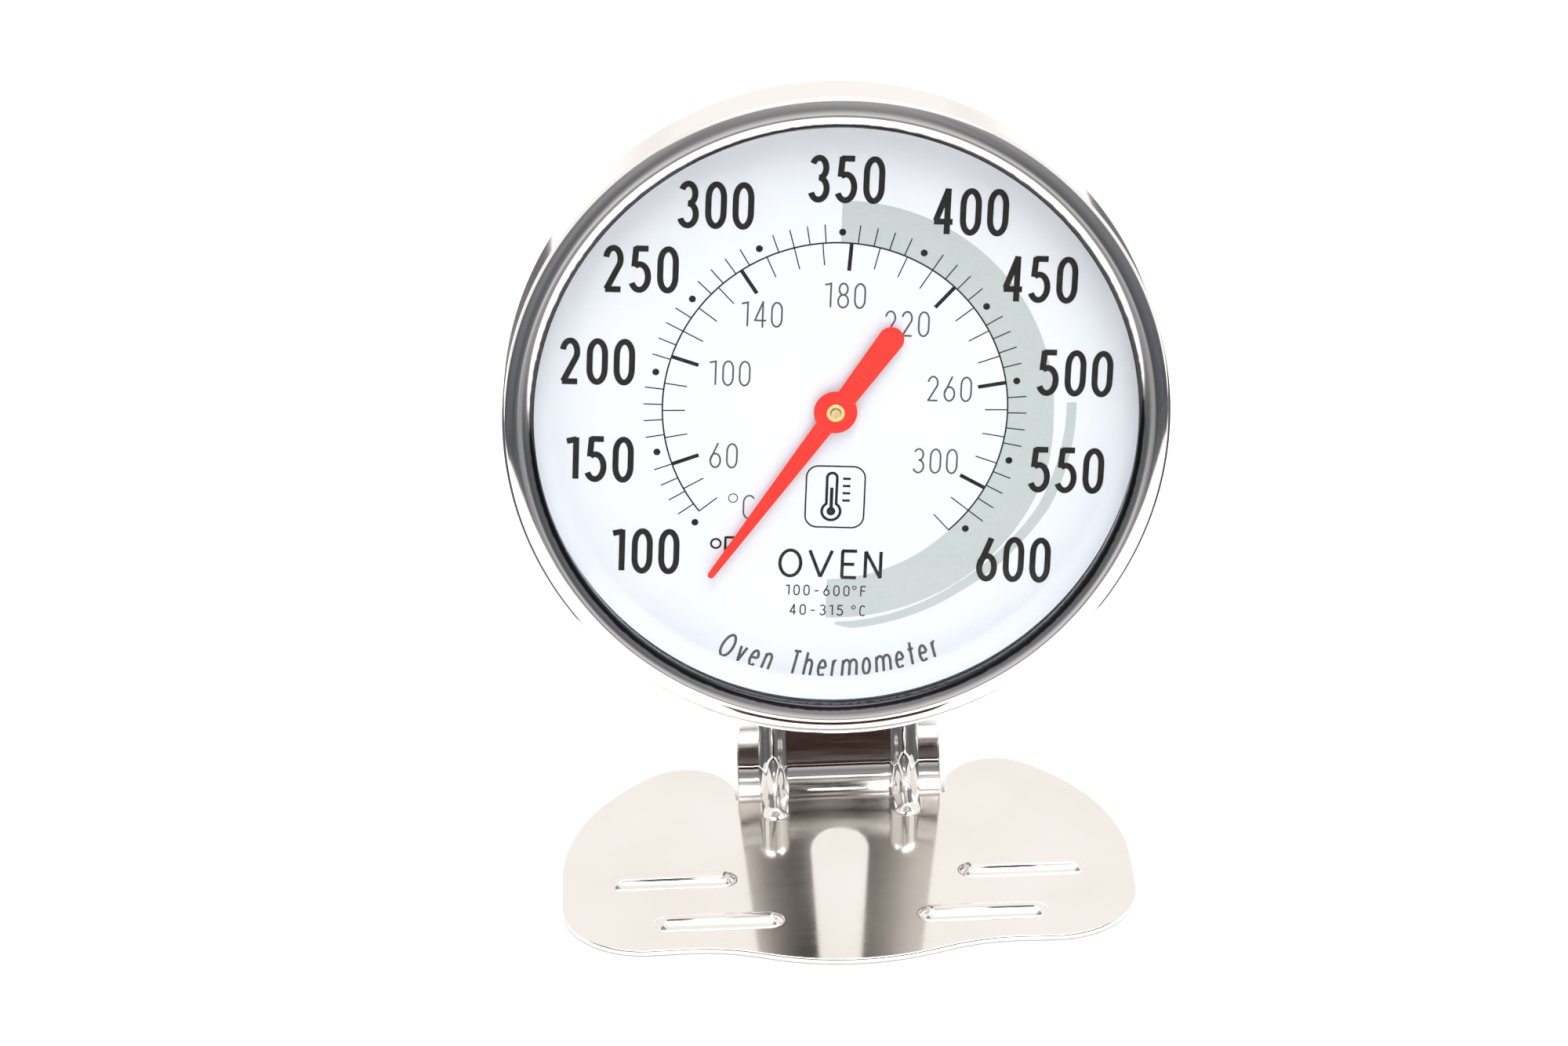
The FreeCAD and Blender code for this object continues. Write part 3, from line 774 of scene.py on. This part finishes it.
def print_patch(name, steps, inner, outer):
    """Printed patch. Each edge is (start, stop, angles, radii)."""
    ink = Print()
    rails = [np.array(edge_points(start, stop, steps, angles, radii))
             for start, stop, angles, radii in (outer, inner)]
    ink.add(*strip(*rails, False, DIAL_FACE + 0.005, INK_ROOT))
    return add_piece(ink.mesh(name), "case", sage_ink())


def print_band():
    return print_patch(
        "print_band", 120, (-0.4, 180.4, (0, 136, 180), (SCALE_LINE_R, SCALE_LINE_R, 22.3)),
        (-0.32, 180.32, (0, 90, 105, 125, 174), (26.7, 27.1, 27.6, 27.6, 27.4)))


def print_swoosh():
    return print_patch(
        "print_sweep", 80, (86.65, 177.5, (87, 115, 128, 144, 174), (28.7, 28.4, 27.85, 27.6, 27.94)),
        (86.78, 178.0, (87, 114, 126, 145, 174, 178), (29.9, 29.8, 29.2, 28.8, 28.9, 28.3)))


def print_pictogram():
    """Rounded square with a plain thermometer sign in it."""
    ink = Print()
    left, right, low, high, corner = -3.2, 4.1, -15.4, -7.4, 1.5
    frame_line = rounded([(left, low, corner), (right, low, corner),
                          (right, high, corner), (left, high, corner)])
    ink.line([tuple(point) for point in frame_line], 0.2, True)
    stem = bow(0.0, -8.9, 0.62, 0.62, 0, 180) + bow(0.0, -13.3, 1.15, 1.15, 122, 418)
    ink.line(stem, 0.34, True)
    ink.line([(0.0, -13.3), (0.0, -10.2)], 0.42)
    ink.line(oval(0.0, -13.3, 0.3, 0.3), 0.5, True)
    for k in range(4):
        ink.line([(1.35, -9.0 - 0.95 * k), (2.3, -9.0 - 0.95 * k)], 0.3)
    return add_piece(ink.mesh("print_pictogram"), "case", black_ink())


def print_title():
    """The plain word under the pictogram, with both ranges below it."""
    ink = Print()
    low, high, stroke = -22.0, -18.5, 0.42
    middle = (low + high) / 2
    ink.line(oval(-4.8, middle, 1.3, 1.7), stroke, True)
    straights = [(-2.4, high, -1.0, low), (-1.0, low, 0.4, high), (1.7, low, 1.7, high),
                 (1.6, high, 3.5, high), (1.6, middle, 3.2, middle), (1.6, low, 3.5, low),
                 (4.6, low, 4.6, high), (4.6, high, 6.5, low), (6.5, low, 6.5, high)]
    for x0, y0, x1, y1 in straights:
        ink.line([(x0, y0), (x1, y1)], stroke)
    for figures, unit, level in (("100-600", "F", -23.8), ("40-315", "C", -26.4)):
        write(ink, figures, -1.3, level, 1.45, 0.8, 1.25, 0.16)
        ink.line(oval(3.35, level + 0.45, 0.22, 0.22), 0.12, True)
        write(ink, unit, 4.5, level, 1.45, 0.8, 1.25, 0.16)
    return add_piece(ink.mesh("print_title"), "case", black_ink())


# --- rings of marks
def wired(tree, kind, inputs, out=0, **values):
    """New node: each input is linked to a socket or set to a value. Gives one
    of its outputs."""
    made = tree.nodes.new(kind)
    for key, value in values.items():
        setattr(made, key, value)
    for socket, source in inputs.items():
        if isinstance(source, bpy.types.NodeSocket):
            tree.links.new(source, made.inputs[socket])
        else:
            made.inputs[socket].default_value = source
    return made.outputs[out]


def worked(tree, operation, a, b=0.0, c=0.0):
    return wired(tree, "ShaderNodeMath", {0: a, 1: b, 2: c}, operation=operation)


MARK_INPUTS = {"Geometry": "Geometry", "Count": "Int", "First": "Float", "Step": "Float",
               "Radius": "Float", "Size": "Vector", "Height": "Float",
               "Leave Out Every": "Float", "Leave Out From": "Float", "Material": "Material"}


def mark_group(name, dots):
    """Marks spread round a circle, clockwise from the top, with every so
    many of them left out."""
    tree = bpy.data.node_groups.new(name, "GeometryNodeTree")
    for label, kind in MARK_INPUTS.items():
        tree.interface.new_socket(label, in_out="INPUT", socket_type="NodeSocket" + kind)
    tree.interface.new_socket("Geometry", in_out="OUTPUT", socket_type="NodeSocketGeometry")
    given = tree.nodes.new("NodeGroupInput").outputs
    line = wired(tree, "GeometryNodeMeshLine", {"Count": given["Count"]})
    index = wired(tree, "GeometryNodeInputIndex", {})
    turn = worked(tree, "ADD", worked(tree, "MULTIPLY", index, given["Step"]), given["First"])
    turn = worked(tree, "RADIANS", turn)
    across, up = (worked(tree, "MULTIPLY", worked(tree, wave, turn), given["Radius"])
                  for wave in ("SINE", "COSINE"))
    spot = wired(tree, "ShaderNodeCombineXYZ", {0: across, 1: up, 2: given["Height"]})
    placed = wired(tree, "GeometryNodeSetPosition", {"Geometry": line, "Position": spot})
    if dots:
        split = wired(tree, "ShaderNodeSeparateXYZ", {0: given["Size"]}).node.outputs
        shape = wired(tree, "GeometryNodeMeshCylinder",
                      {"Vertices": 28, "Radius": split[0], "Depth": split[2]}, "Mesh")
    else:
        shape = wired(tree, "GeometryNodeMeshCube", {"Size": given["Size"]}, "Mesh")
    turning = wired(tree, "ShaderNodeCombineXYZ", {2: worked(tree, "MULTIPLY", turn, -1.0)})
    left_out = worked(tree, "ADD", index, given["Leave Out From"])
    left_out = worked(tree, "MODULO", left_out, given["Leave Out Every"])
    marks = wired(tree, "GeometryNodeInstanceOnPoints", {
        "Points": placed, "Selection": worked(tree, "GREATER_THAN", left_out, 0.5),
        "Instance": shape, "Rotation": turning})
    real = wired(tree, "GeometryNodeRealizeInstances", {0: marks})
    inked = wired(tree, "GeometryNodeSetMaterial", {"Geometry": real, "Material": given["Material"]})
    tree.links.new(inked, tree.nodes.new("NodeGroupOutput").inputs[0])
    return tree


def made_by(tree, values, name):
    """Plain mesh from a node group with these named values."""
    start = bpy.data.objects.new(name, bpy.data.meshes.new(name + "_start"))
    bpy.context.scene.collection.objects.link(start)
    modifier = start.modifiers.new("marks", "NODES")
    modifier.node_group = tree
    for item in tree.interface.items_tree:
        if item.in_out == "INPUT" and item.name in values:
            modifier[item.identifier] = values[item.name]
    graph = bpy.context.evaluated_depsgraph_get()
    mesh = bpy.data.meshes.new_from_object(start.evaluated_get(graph), depsgraph=graph)
    bpy.data.objects.remove(start)
    mesh.name = name
    return mesh


def print_marks(name, tree, count, first, step, radius, size, top, every=1000.0, offset=1.0):
    """One ring of printed marks. size is (across, along the radius)."""
    depth = top + 0.02
    material = black_ink()
    mesh = made_by(tree, {
        "Count": count, "First": first, "Step": step, "Radius": radius,
        "Size": (size[0], size[1], depth), "Height": DIAL_FACE + top - depth / 2,
        "Leave Out Every": every, "Leave Out From": offset, "Material": material}, name)
    mesh.transform(Matrix.Scale(MM, 4) @ PRINT)
    return add_piece(mesh, "case", material)


def print_all_marks():
    bars, dots = mark_group("ring_of_bars", False), mark_group("ring_of_dots", True)
    ten_f, ten_c = scale_angle(360) - scale_angle(350), scale_angle(368) - scale_angle(350)
    line = SCALE_LINE_R
    print_marks("print_fahrenheit_ticks", bars, 51, scale_angle(100), ten_f,
                (line + 23.7) / 2, (0.15, 23.7 - line), 0.012, 5.0, 0.0)
    print_marks("print_celsius_ticks", bars, 29, scale_angle(104), ten_c,
                (18.54 + line) / 2, (0.15, line - 18.54), 0.012, 4.0, 2.0)
    print_marks("print_celsius_bars", bars, 7, scale_angle(140), 4 * ten_c,
                (17.85 + line) / 2, (0.48, line - 17.85), 0.013)
    print_marks("print_fahrenheit_dots", dots, 11, scale_angle(100), 5 * ten_f,
                22.69, (0.435, 0.435), 0.012)


# --- materials
class Finish:
    """A material being put together around one principled surface."""

    def __init__(self, name):
        self.material = bpy.data.materials.new(name)
        self.material.use_nodes = True
        self.tree = self.material.node_tree
        self.surface = self.tree.nodes["Principled BSDF"]

    def node(self, kind, inputs, out=0, **values):
        return wired(self.tree, kind, inputs, out, **values)

    def feed(self, value, name):
        self.tree.links.new(value, self.surface.inputs[name])

    def set(self, **values):
        for key, value in values.items():
            self.surface.inputs[key.replace("_", " ")].default_value = value

    def coordinates(self, part=None, stretch=(1, 1, 1)):
        """Object coordinates in millimetres, turned into a part's own frame."""
        place = self.node("ShaderNodeTexCoord", {}, "Object")
        if part is not None:
            place = self.node("ShaderNodeMapping", {
                "Vector": place, "Location": part.to_translation() * MM,
                "Rotation": part.to_euler()}, vector_type="TEXTURE")
        return self.node("ShaderNodeMapping", {
            "Vector": place, "Scale": [1000.0 * s for s in stretch]})

    def noise(self, vector, scale, detail=3.0, rough=0.5):
        return self.node("ShaderNodeTexNoise", {
            "Vector": vector, "Scale": scale, "Detail": detail, "Roughness": rough}, "Fac")

    def ranged(self, value, low, high, start=0.3, stop=0.7):
        return self.node("ShaderNodeMapRange", {0: value, 1: start, 2: stop, 3: low, 4: high})

    def tint(self, value, first, second, start=0.3, stop=0.7):
        ramp = self.node("ShaderNodeValToRGB", {0: value})
        marks = ramp.node.color_ramp.elements
        for mark, place, colour in zip(marks, (start, stop), (first, second)):
            mark.position, mark.color = place, (*colour, 1)
        self.feed(ramp, "Base Color")

    def rough(self, value, low, high):
        self.feed(self.ranged(value, low, high), "Roughness")

    def bump(self, value, distance, strength=1.0):
        """Relief this many millimetres high."""
        relief = {"Height": value, "Strength": strength, "Distance": distance * MM}
        self.feed(self.node("ShaderNodeBump", relief), "Normal")

    def rings(self, vector):
        """Coordinates that only change with the distance from the axis."""
        flat = self.node("ShaderNodeVectorMath", {0: vector, 1: (1, 1, 0)}, operation="MULTIPLY")
        length = self.node("ShaderNodeVectorMath", {0: flat}, "Value", operation="LENGTH")
        depth = self.node("ShaderNodeSeparateXYZ", {0: vector}, 2)
        return self.node("ShaderNodeCombineXYZ", {0: length, 1: depth})


def once(make):
    """The same material each time it is asked for."""
    made = []

    def give():
        if not made:
            made.append(make())
        return made[0]

    return give


@once
def stand_steel():
    """Bright rolled stainless with a faint grain across the sheet."""
    f = Finish("stand_steel")
    f.set(Metallic=1.0)
    grain = f.noise(f.coordinates(stretch=(0.04, 1, 1)), 3.0, 4.0, 0.6)
    cloud = f.noise(f.coordinates(), 0.06, 3.0)
    f.tint(cloud, (0.83, 0.81, 0.785), (0.88, 0.865, 0.845))
    f.rough(grain, 0.05, 0.1)
    f.bump(f.noise(f.coordinates(stretch=(0.3, 1, 1)), 0.35, 2.0), 0.004, 0.6)
    return f.material


@once
def bezel_steel():
    """Polished stainless with fine lathe lines round it, and painted shade: the steel is tinted near
    black just inside the window's lip.
    """
    f = Finish("bezel_steel")
    f.set(Metallic=1.0)
    place = f.coordinates(HEAD)
    reach = f.rings(place)
    lines = f.noise(reach, 9.0, 3.0, 0.6)
    # Painted shade: a near-black line is painted on the steel inside 37.75 to 37.95 mm from the axis
    # at the window's lip. Noise makes its edge uneven.
    lip_shade_wobble = f.noise(place, 0.9, 3.0)
    across = f.node("ShaderNodeSeparateXYZ", {0: reach})
    edge = worked(f.tree, "MULTIPLY_ADD", lip_shade_wobble, 0.25, across)
    painted_lip_shade = f.ranged(edge, 0, 1, 37.75, 37.95)
    f.tint(painted_lip_shade, (0.05, 0.05, 0.055), (0.88, 0.87, 0.86), 0, 1)
    f.rough(lines, 0.06, 0.12)
    f.bump(lines, 0.0012, 0.5)
    return f.material


def lathed(name, tone, lines, gloss, relief):
    """Metal with fine lines round the dial's axis."""
    f = Finish(name)
    f.set(Metallic=1.0)
    place = f.coordinates(HEAD)
    grain = f.noise(f.rings(place), *lines)
    f.tint(f.noise(place, *tone[:2]), *tone[2:])
    f.rough(grain, *gloss)
    f.bump(grain, *relief)
    return f.material


@once
def case_steel():
    """Drawn stainless, satin, with draw marks along its wall."""
    return lathed("case_steel", (0.07, 3.0, (0.7, 0.69, 0.68), (0.78, 0.77, 0.76)),
                  (5.0, 4.0, 0.6), (0.2, 0.32), (0.003, 0.5))


@once
def window_glass():
    """Clear glass with a trace of smear. Light passes straight to the dial."""
    f = Finish("window_glass")
    f.set(Transmission_Weight=1.0, IOR=1.22)
    place = f.coordinates(HEAD)
    smear = f.noise(place, 0.12, 4.0, 0.6)
    f.tint(smear, (0.985, 0.995, 0.99), (1.0, 1.0, 1.0))
    f.rough(smear, 0.0, 0.015)
    shadow = f.node("ShaderNodeLightPath", {}, "Is Shadow Ray")
    clear = f.node("ShaderNodeBsdfTransparent", {})
    mix = f.node("ShaderNodeMixShader", {0: shadow, 1: f.surface.outputs[0], 2: clear})
    f.tree.links.new(mix, f.tree.nodes["Material Output"].inputs["Surface"])
    return f.material


@once
def gasket_rubber():
    f = Finish("gasket_rubber")
    f.set(Specular_IOR_Level=0.4)
    place = f.coordinates(HEAD)
    grain = f.noise(place, 3.0, 4.0)
    f.tint(grain, (0.018, 0.018, 0.019), (0.03, 0.03, 0.032))
    f.rough(grain, 0.55, 0.75)
    f.bump(grain, 0.01, 0.6)
    return f.material


def coated(name, sheen, part, tone, gloss, relief):
    """Paint or ink. tone, gloss and relief are (scale, detail, low, high)
    fields; relief's last two are its height and strength."""
    f = Finish(name)
    f.set(Specular_IOR_Level=sheen)
    place = f.coordinates(part)
    f.tint(f.noise(place, *tone[:2]), *tone[2:])
    f.rough(f.noise(place, *gloss[:2]), *gloss[2:])
    f.bump(f.noise(place, *relief[:2]), *relief[2:])
    return f.material


@once
def dial_enamel():
    """White baked enamel on sheet metal."""
    return coated("dial_enamel", 0.35, HEAD, (0.1, 3.0, (0.66, 0.70, 0.77), (0.68, 0.72, 0.785)),
                  (1.5, 3.0, 0.38, 0.5), (2.5, 3.0, 0.002, 0.5))


def printed(name, first, second):
    """Screen-printed ink: slightly uneven in tone and gloss."""
    return coated(name, 0.1, HEAD, (2.0, 3.0, first, second), (4.0, 2.0, 0.4, 0.55),
                  (5.0, 2.0, 0.001, 0.5))


@once
def black_ink():
    return printed("black_ink", (0.004, 0.0035, 0.003), (0.009, 0.008, 0.007))


@once
def grey_ink():
    return printed("grey_ink", (0.06, 0.055, 0.055), (0.085, 0.08, 0.078))


@once
def sage_ink():
    return printed("sage_ink", (0.42, 0.475, 0.48), (0.445, 0.5, 0.505))


@once
def pointer_red():
    """Satin red lacquer."""
    return coated("pointer_red", 0.22, POINTER, (0.5, 3.0, (0.8, 0.018, 0.011), (0.85, 0.023, 0.014)),
                  (2.0, 3.0, 0.36, 0.48), (2.2, 3.0, 0.003, 0.5))


@once
def brass():
    return lathed("brass", (1.5, 3.0, (0.72, 0.5, 0.2), (0.8, 0.6, 0.28)),
                  (14.0, 3.0, 0.5), (0.2, 0.34), (0.004, 0.6))


def plain_steel(name, first, second, low, high, scale):
    """Small steel parts: cloudy tone, fine scratches."""
    f = Finish(name)
    f.set(Metallic=1.0)
    place = f.coordinates(HEAD, (1, 0.12, 1))
    f.tint(f.noise(f.coordinates(HEAD), 0.4, 3.0), first, second)
    f.rough(f.noise(place, scale, 4.0), low, high)
    f.bump(f.noise(place, scale, 3.0), 0.003, 0.6)
    return f.material


@once
def rivet_steel():
    return plain_steel("rivet_steel", (0.66, 0.65, 0.64), (0.76, 0.75, 0.74), 0.18, 0.3, 4.0)


@once
def plated_steel():
    return plain_steel("plated_steel", (0.55, 0.55, 0.52), (0.68, 0.68, 0.64), 0.28, 0.42, 2.5)


@once
def staff_steel():
    """Tempered to a straw colour."""
    return plain_steel("staff_steel", (0.5, 0.38, 0.2), (0.6, 0.47, 0.27), 0.2, 0.32, 8.0)


@once
def bimetal():
    """Coil strip, straw coloured from heat treatment."""
    return plain_steel("bimetal", (0.52, 0.42, 0.3), (0.66, 0.58, 0.46), 0.25, 0.4, 3.0)


CARRIED_OVER = {
    "movement_frame": plated_steel, "front_bridge": plated_steel, "coil_anchor": plated_steel,
    "bridge_rivets": rivet_steel, "front_bushing": brass, "rear_bushing": brass,
    "thrust_washer": brass, "coil_collar": brass, "staff": staff_steel, "bimetal_coil": bimetal,
}


def finish_carried_over():
    for node, finish in CARRIED_OVER.items():
        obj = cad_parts[node]
        material = finish()
        obj.data.materials.clear()
        obj.data.materials.append(material)


# --- studio
def staged(name, points, faces, material):
    obj = bpy.data.objects.new(name, new_mesh(name, np.array(points, float), faces))
    bpy.context.scene.collection.objects.link(obj)
    obj.data.materials.append(material)
    return obj


def paper():
    f = Finish("floor_paper")
    place = f.coordinates()
    f.tint(f.noise(place, 0.01, 3.0), (0.9, 0.895, 0.885), (0.92, 0.915, 0.905))
    f.rough(f.noise(place, 0.5, 3.0), 0.8, 0.95)
    return f.material


def glow(name, colour):
    material = bpy.data.materials.new(name)
    material.use_nodes = True
    tree = material.node_tree
    tree.nodes.clear()
    shine = wired(tree, "ShaderNodeEmission", {"Color": (*colour, 1), "Strength": 1.0})
    tree.links.new(shine, tree.nodes.new("ShaderNodeOutputMaterial").inputs["Surface"])
    return material


def seen_only_in_metal(obj):
    obj.visible_camera = False
    obj.visible_diffuse = False
    obj.visible_shadow = False
    obj.visible_transmission = False


def build_floor():
    far, level = 3000.0, -0.03
    corners = [(x * far, y * far, level) for x, y in ((-1, -1), (1, -1), (1, 1), (-1, 1))]
    staged("floor", corners, [(0, 1, 2, 3)], paper())


def fade(tree, value, start, stop, low, high):
    """Smooth step of a shader value from low at start to high at stop."""
    return wired(tree, "ShaderNodeMapRange", {0: value, 1: start, 2: stop, 3: low, 4: high},
                 interpolation_type="SMOOTHSTEP")


def doorway_light(tree, x, z):
    """How much of the pale doorway straight ahead shows at a place."""
    across = fade(tree, worked(tree, "ABSOLUTE", x), 0.03, 0.12, 1.0, 0.0)
    foot = fade(tree, z, 0.001, 0.03, 0.3, 1.0)
    head = fade(tree, z, 0.02, 0.24, 1.0, 0.0)
    return worked(tree, "MULTIPLY", across, worked(tree, "MULTIPLY", foot, head))


def dark_room():
    """Dim room colour: darkest low down and uneven, with a pale doorway."""
    material = glow("dark_room", (0, 0, 0))
    tree = material.node_tree
    place = wired(tree, "ShaderNodeTexCoord", {}, "Object")
    x, _, z = wired(tree, "ShaderNodeSeparateXYZ", {0: place}).node.outputs
    upright = wired(tree, "ShaderNodeMapping", {0: place, "Scale": (1.0, 1.0, 0.25)})
    cloud = wired(tree, "ShaderNodeTexNoise", {0: upright, "Scale": 9.0, "Detail": 2.0}, "Fac")
    height = worked(tree, "MULTIPLY_ADD", cloud, 0.45, z)
    shade = wired(tree, "ShaderNodeValToRGB", {0: height})
    marks = shade.node.color_ramp.elements
    marks[0].position, marks[0].color = 0.12, (0.05, 0.052, 0.06, 1)
    marks[1].position, marks[1].color = 0.75, (0.4, 0.385, 0.38, 1)
    marks.new(0.36).color = (0.16, 0.165, 0.18, 1)
    lit = wired(tree, "ShaderNodeMix", {0: doorway_light(tree, x, z), 6: shade,
                                        7: (0.72, 0.71, 0.7, 1)}, 2, data_type="RGBA")
    tree.links.new(lit, tree.nodes["Emission"].inputs["Color"])
    return material


def arc_card(name, turn, rows, material, facing=0.0):
    """Strip round the object, its middle in front of it unless it is turned
    to face elsewhere. Each row is (radius, height)."""
    steps = 36
    points, faces = [], []
    for reach, z in rows:
        for k in range(steps + 1):
            angle = math.radians(facing - turn + 2 * turn * k / steps)
            points.append((reach * math.sin(angle), -reach * math.cos(angle), z))
    for row in range(len(rows) - 1):
        for k in range(steps):
            a = row * (steps + 1) + k
            faces.append((a, a + 1, a + steps + 2, a + steps + 1))
    card = staged(name, points, faces, material)
    seen_only_in_metal(card)


def build_dark_front():
    """The dark parts of the room, as polished metal sees them."""
    arc_card("dark_front", 78.0, [(250.0, 0.3), (420.0, 0.3), (420.0, 620.0)], dark_room())
    arc_card("dim_floor_behind", 100.0, [(60.0, 0.3), (300.0, 0.3)], dark_room(), 180.0)
    wide, near, high = 18.0, -46.0, 12.0
    card = staged("dark_slip", [(-wide, near, 0.2), (wide, near, 0.2), (wide, near, high),
                                (-wide, near, high)], [(0, 1, 2, 3)],
                  glow("dark_brown", (0.036, 0.014, 0.01)))
    seen_only_in_metal(card)


def softbox(name, place, target, size, power, shown_in_metal=True):
    lamp = bpy.data.lights.new(name, "AREA")
    lamp.shape = "RECTANGLE"
    lamp.size, lamp.size_y = size[0] * MM, size[1] * MM
    lamp.energy = power
    obj = bpy.data.objects.new(name, lamp)
    bpy.context.scene.collection.objects.link(obj)
    obj.location = Vector(place) * MM
    obj.rotation_mode = "QUATERNION"
    aim = Vector(target) - Vector(place)
    obj.rotation_quaternion = aim.to_track_quat("-Z", "Y")
    obj.visible_glossy = shown_in_metal
    obj.visible_camera = False
    return obj


def build_light():
    world = bpy.data.worlds.new("studio")
    bpy.context.scene.world = world
    world.use_nodes = True
    sky = world.node_tree.nodes["Background"]
    sky.inputs["Color"].default_value = (1.0, 0.955, 0.92, 1)
    sky.inputs["Strength"].default_value = 1.07
    softbox("overhead", (60, 60, 650), (0, 0, 30), (520, 520), 3.2)
    softbox("key", (30, -350, 660), (0, 0, 60), (420, 280), 1.0, False)
    softbox("front_fill", (40, -600, 260), (0, 0, 60), (500, 400), 0.6, False)


def build_camera():
    """Looks down on the front, turned and rolled a little to the right."""
    down, aside, roll = (math.radians(angle) for angle in CAMERA_TURN)
    data = bpy.data.cameras.new("camera")
    data.lens, data.sensor_width, data.sensor_fit = CAMERA_LENS, 36.0, "HORIZONTAL"
    data.clip_start, data.clip_end = 0.01, 20.0
    obj = bpy.data.objects.new("camera", data)
    bpy.context.scene.collection.objects.link(obj)
    turn = (Matrix.Rotation(-aside, 4, "Z") @ Matrix.Rotation(math.pi / 2 - down, 4, "X")
            @ Matrix.Rotation(-roll, 4, "Z"))
    obj.matrix_world = Matrix.Translation(Vector(CAMERA_PLACE) * MM) @ turn
    bpy.context.scene.camera = obj


def build_all():
    for build in (build_stand, build_bezel, build_lens, build_gasket, build_dial, build_pan):
        build()
    build_mounting_rivet("left", -RIVET_X)
    build_mounting_rivet("right", RIVET_X)
    for build in (build_pointer, build_eyelet, print_band, print_swoosh, print_scale_line,
                  print_all_marks, print_numbers, print_small_numbers, print_pictogram,
                  print_title, finish_carried_over, build_floor, build_dark_front,
                  build_light, build_camera):
        build()


build_all()
bpy.context.scene.view_settings.view_transform = "Standard"
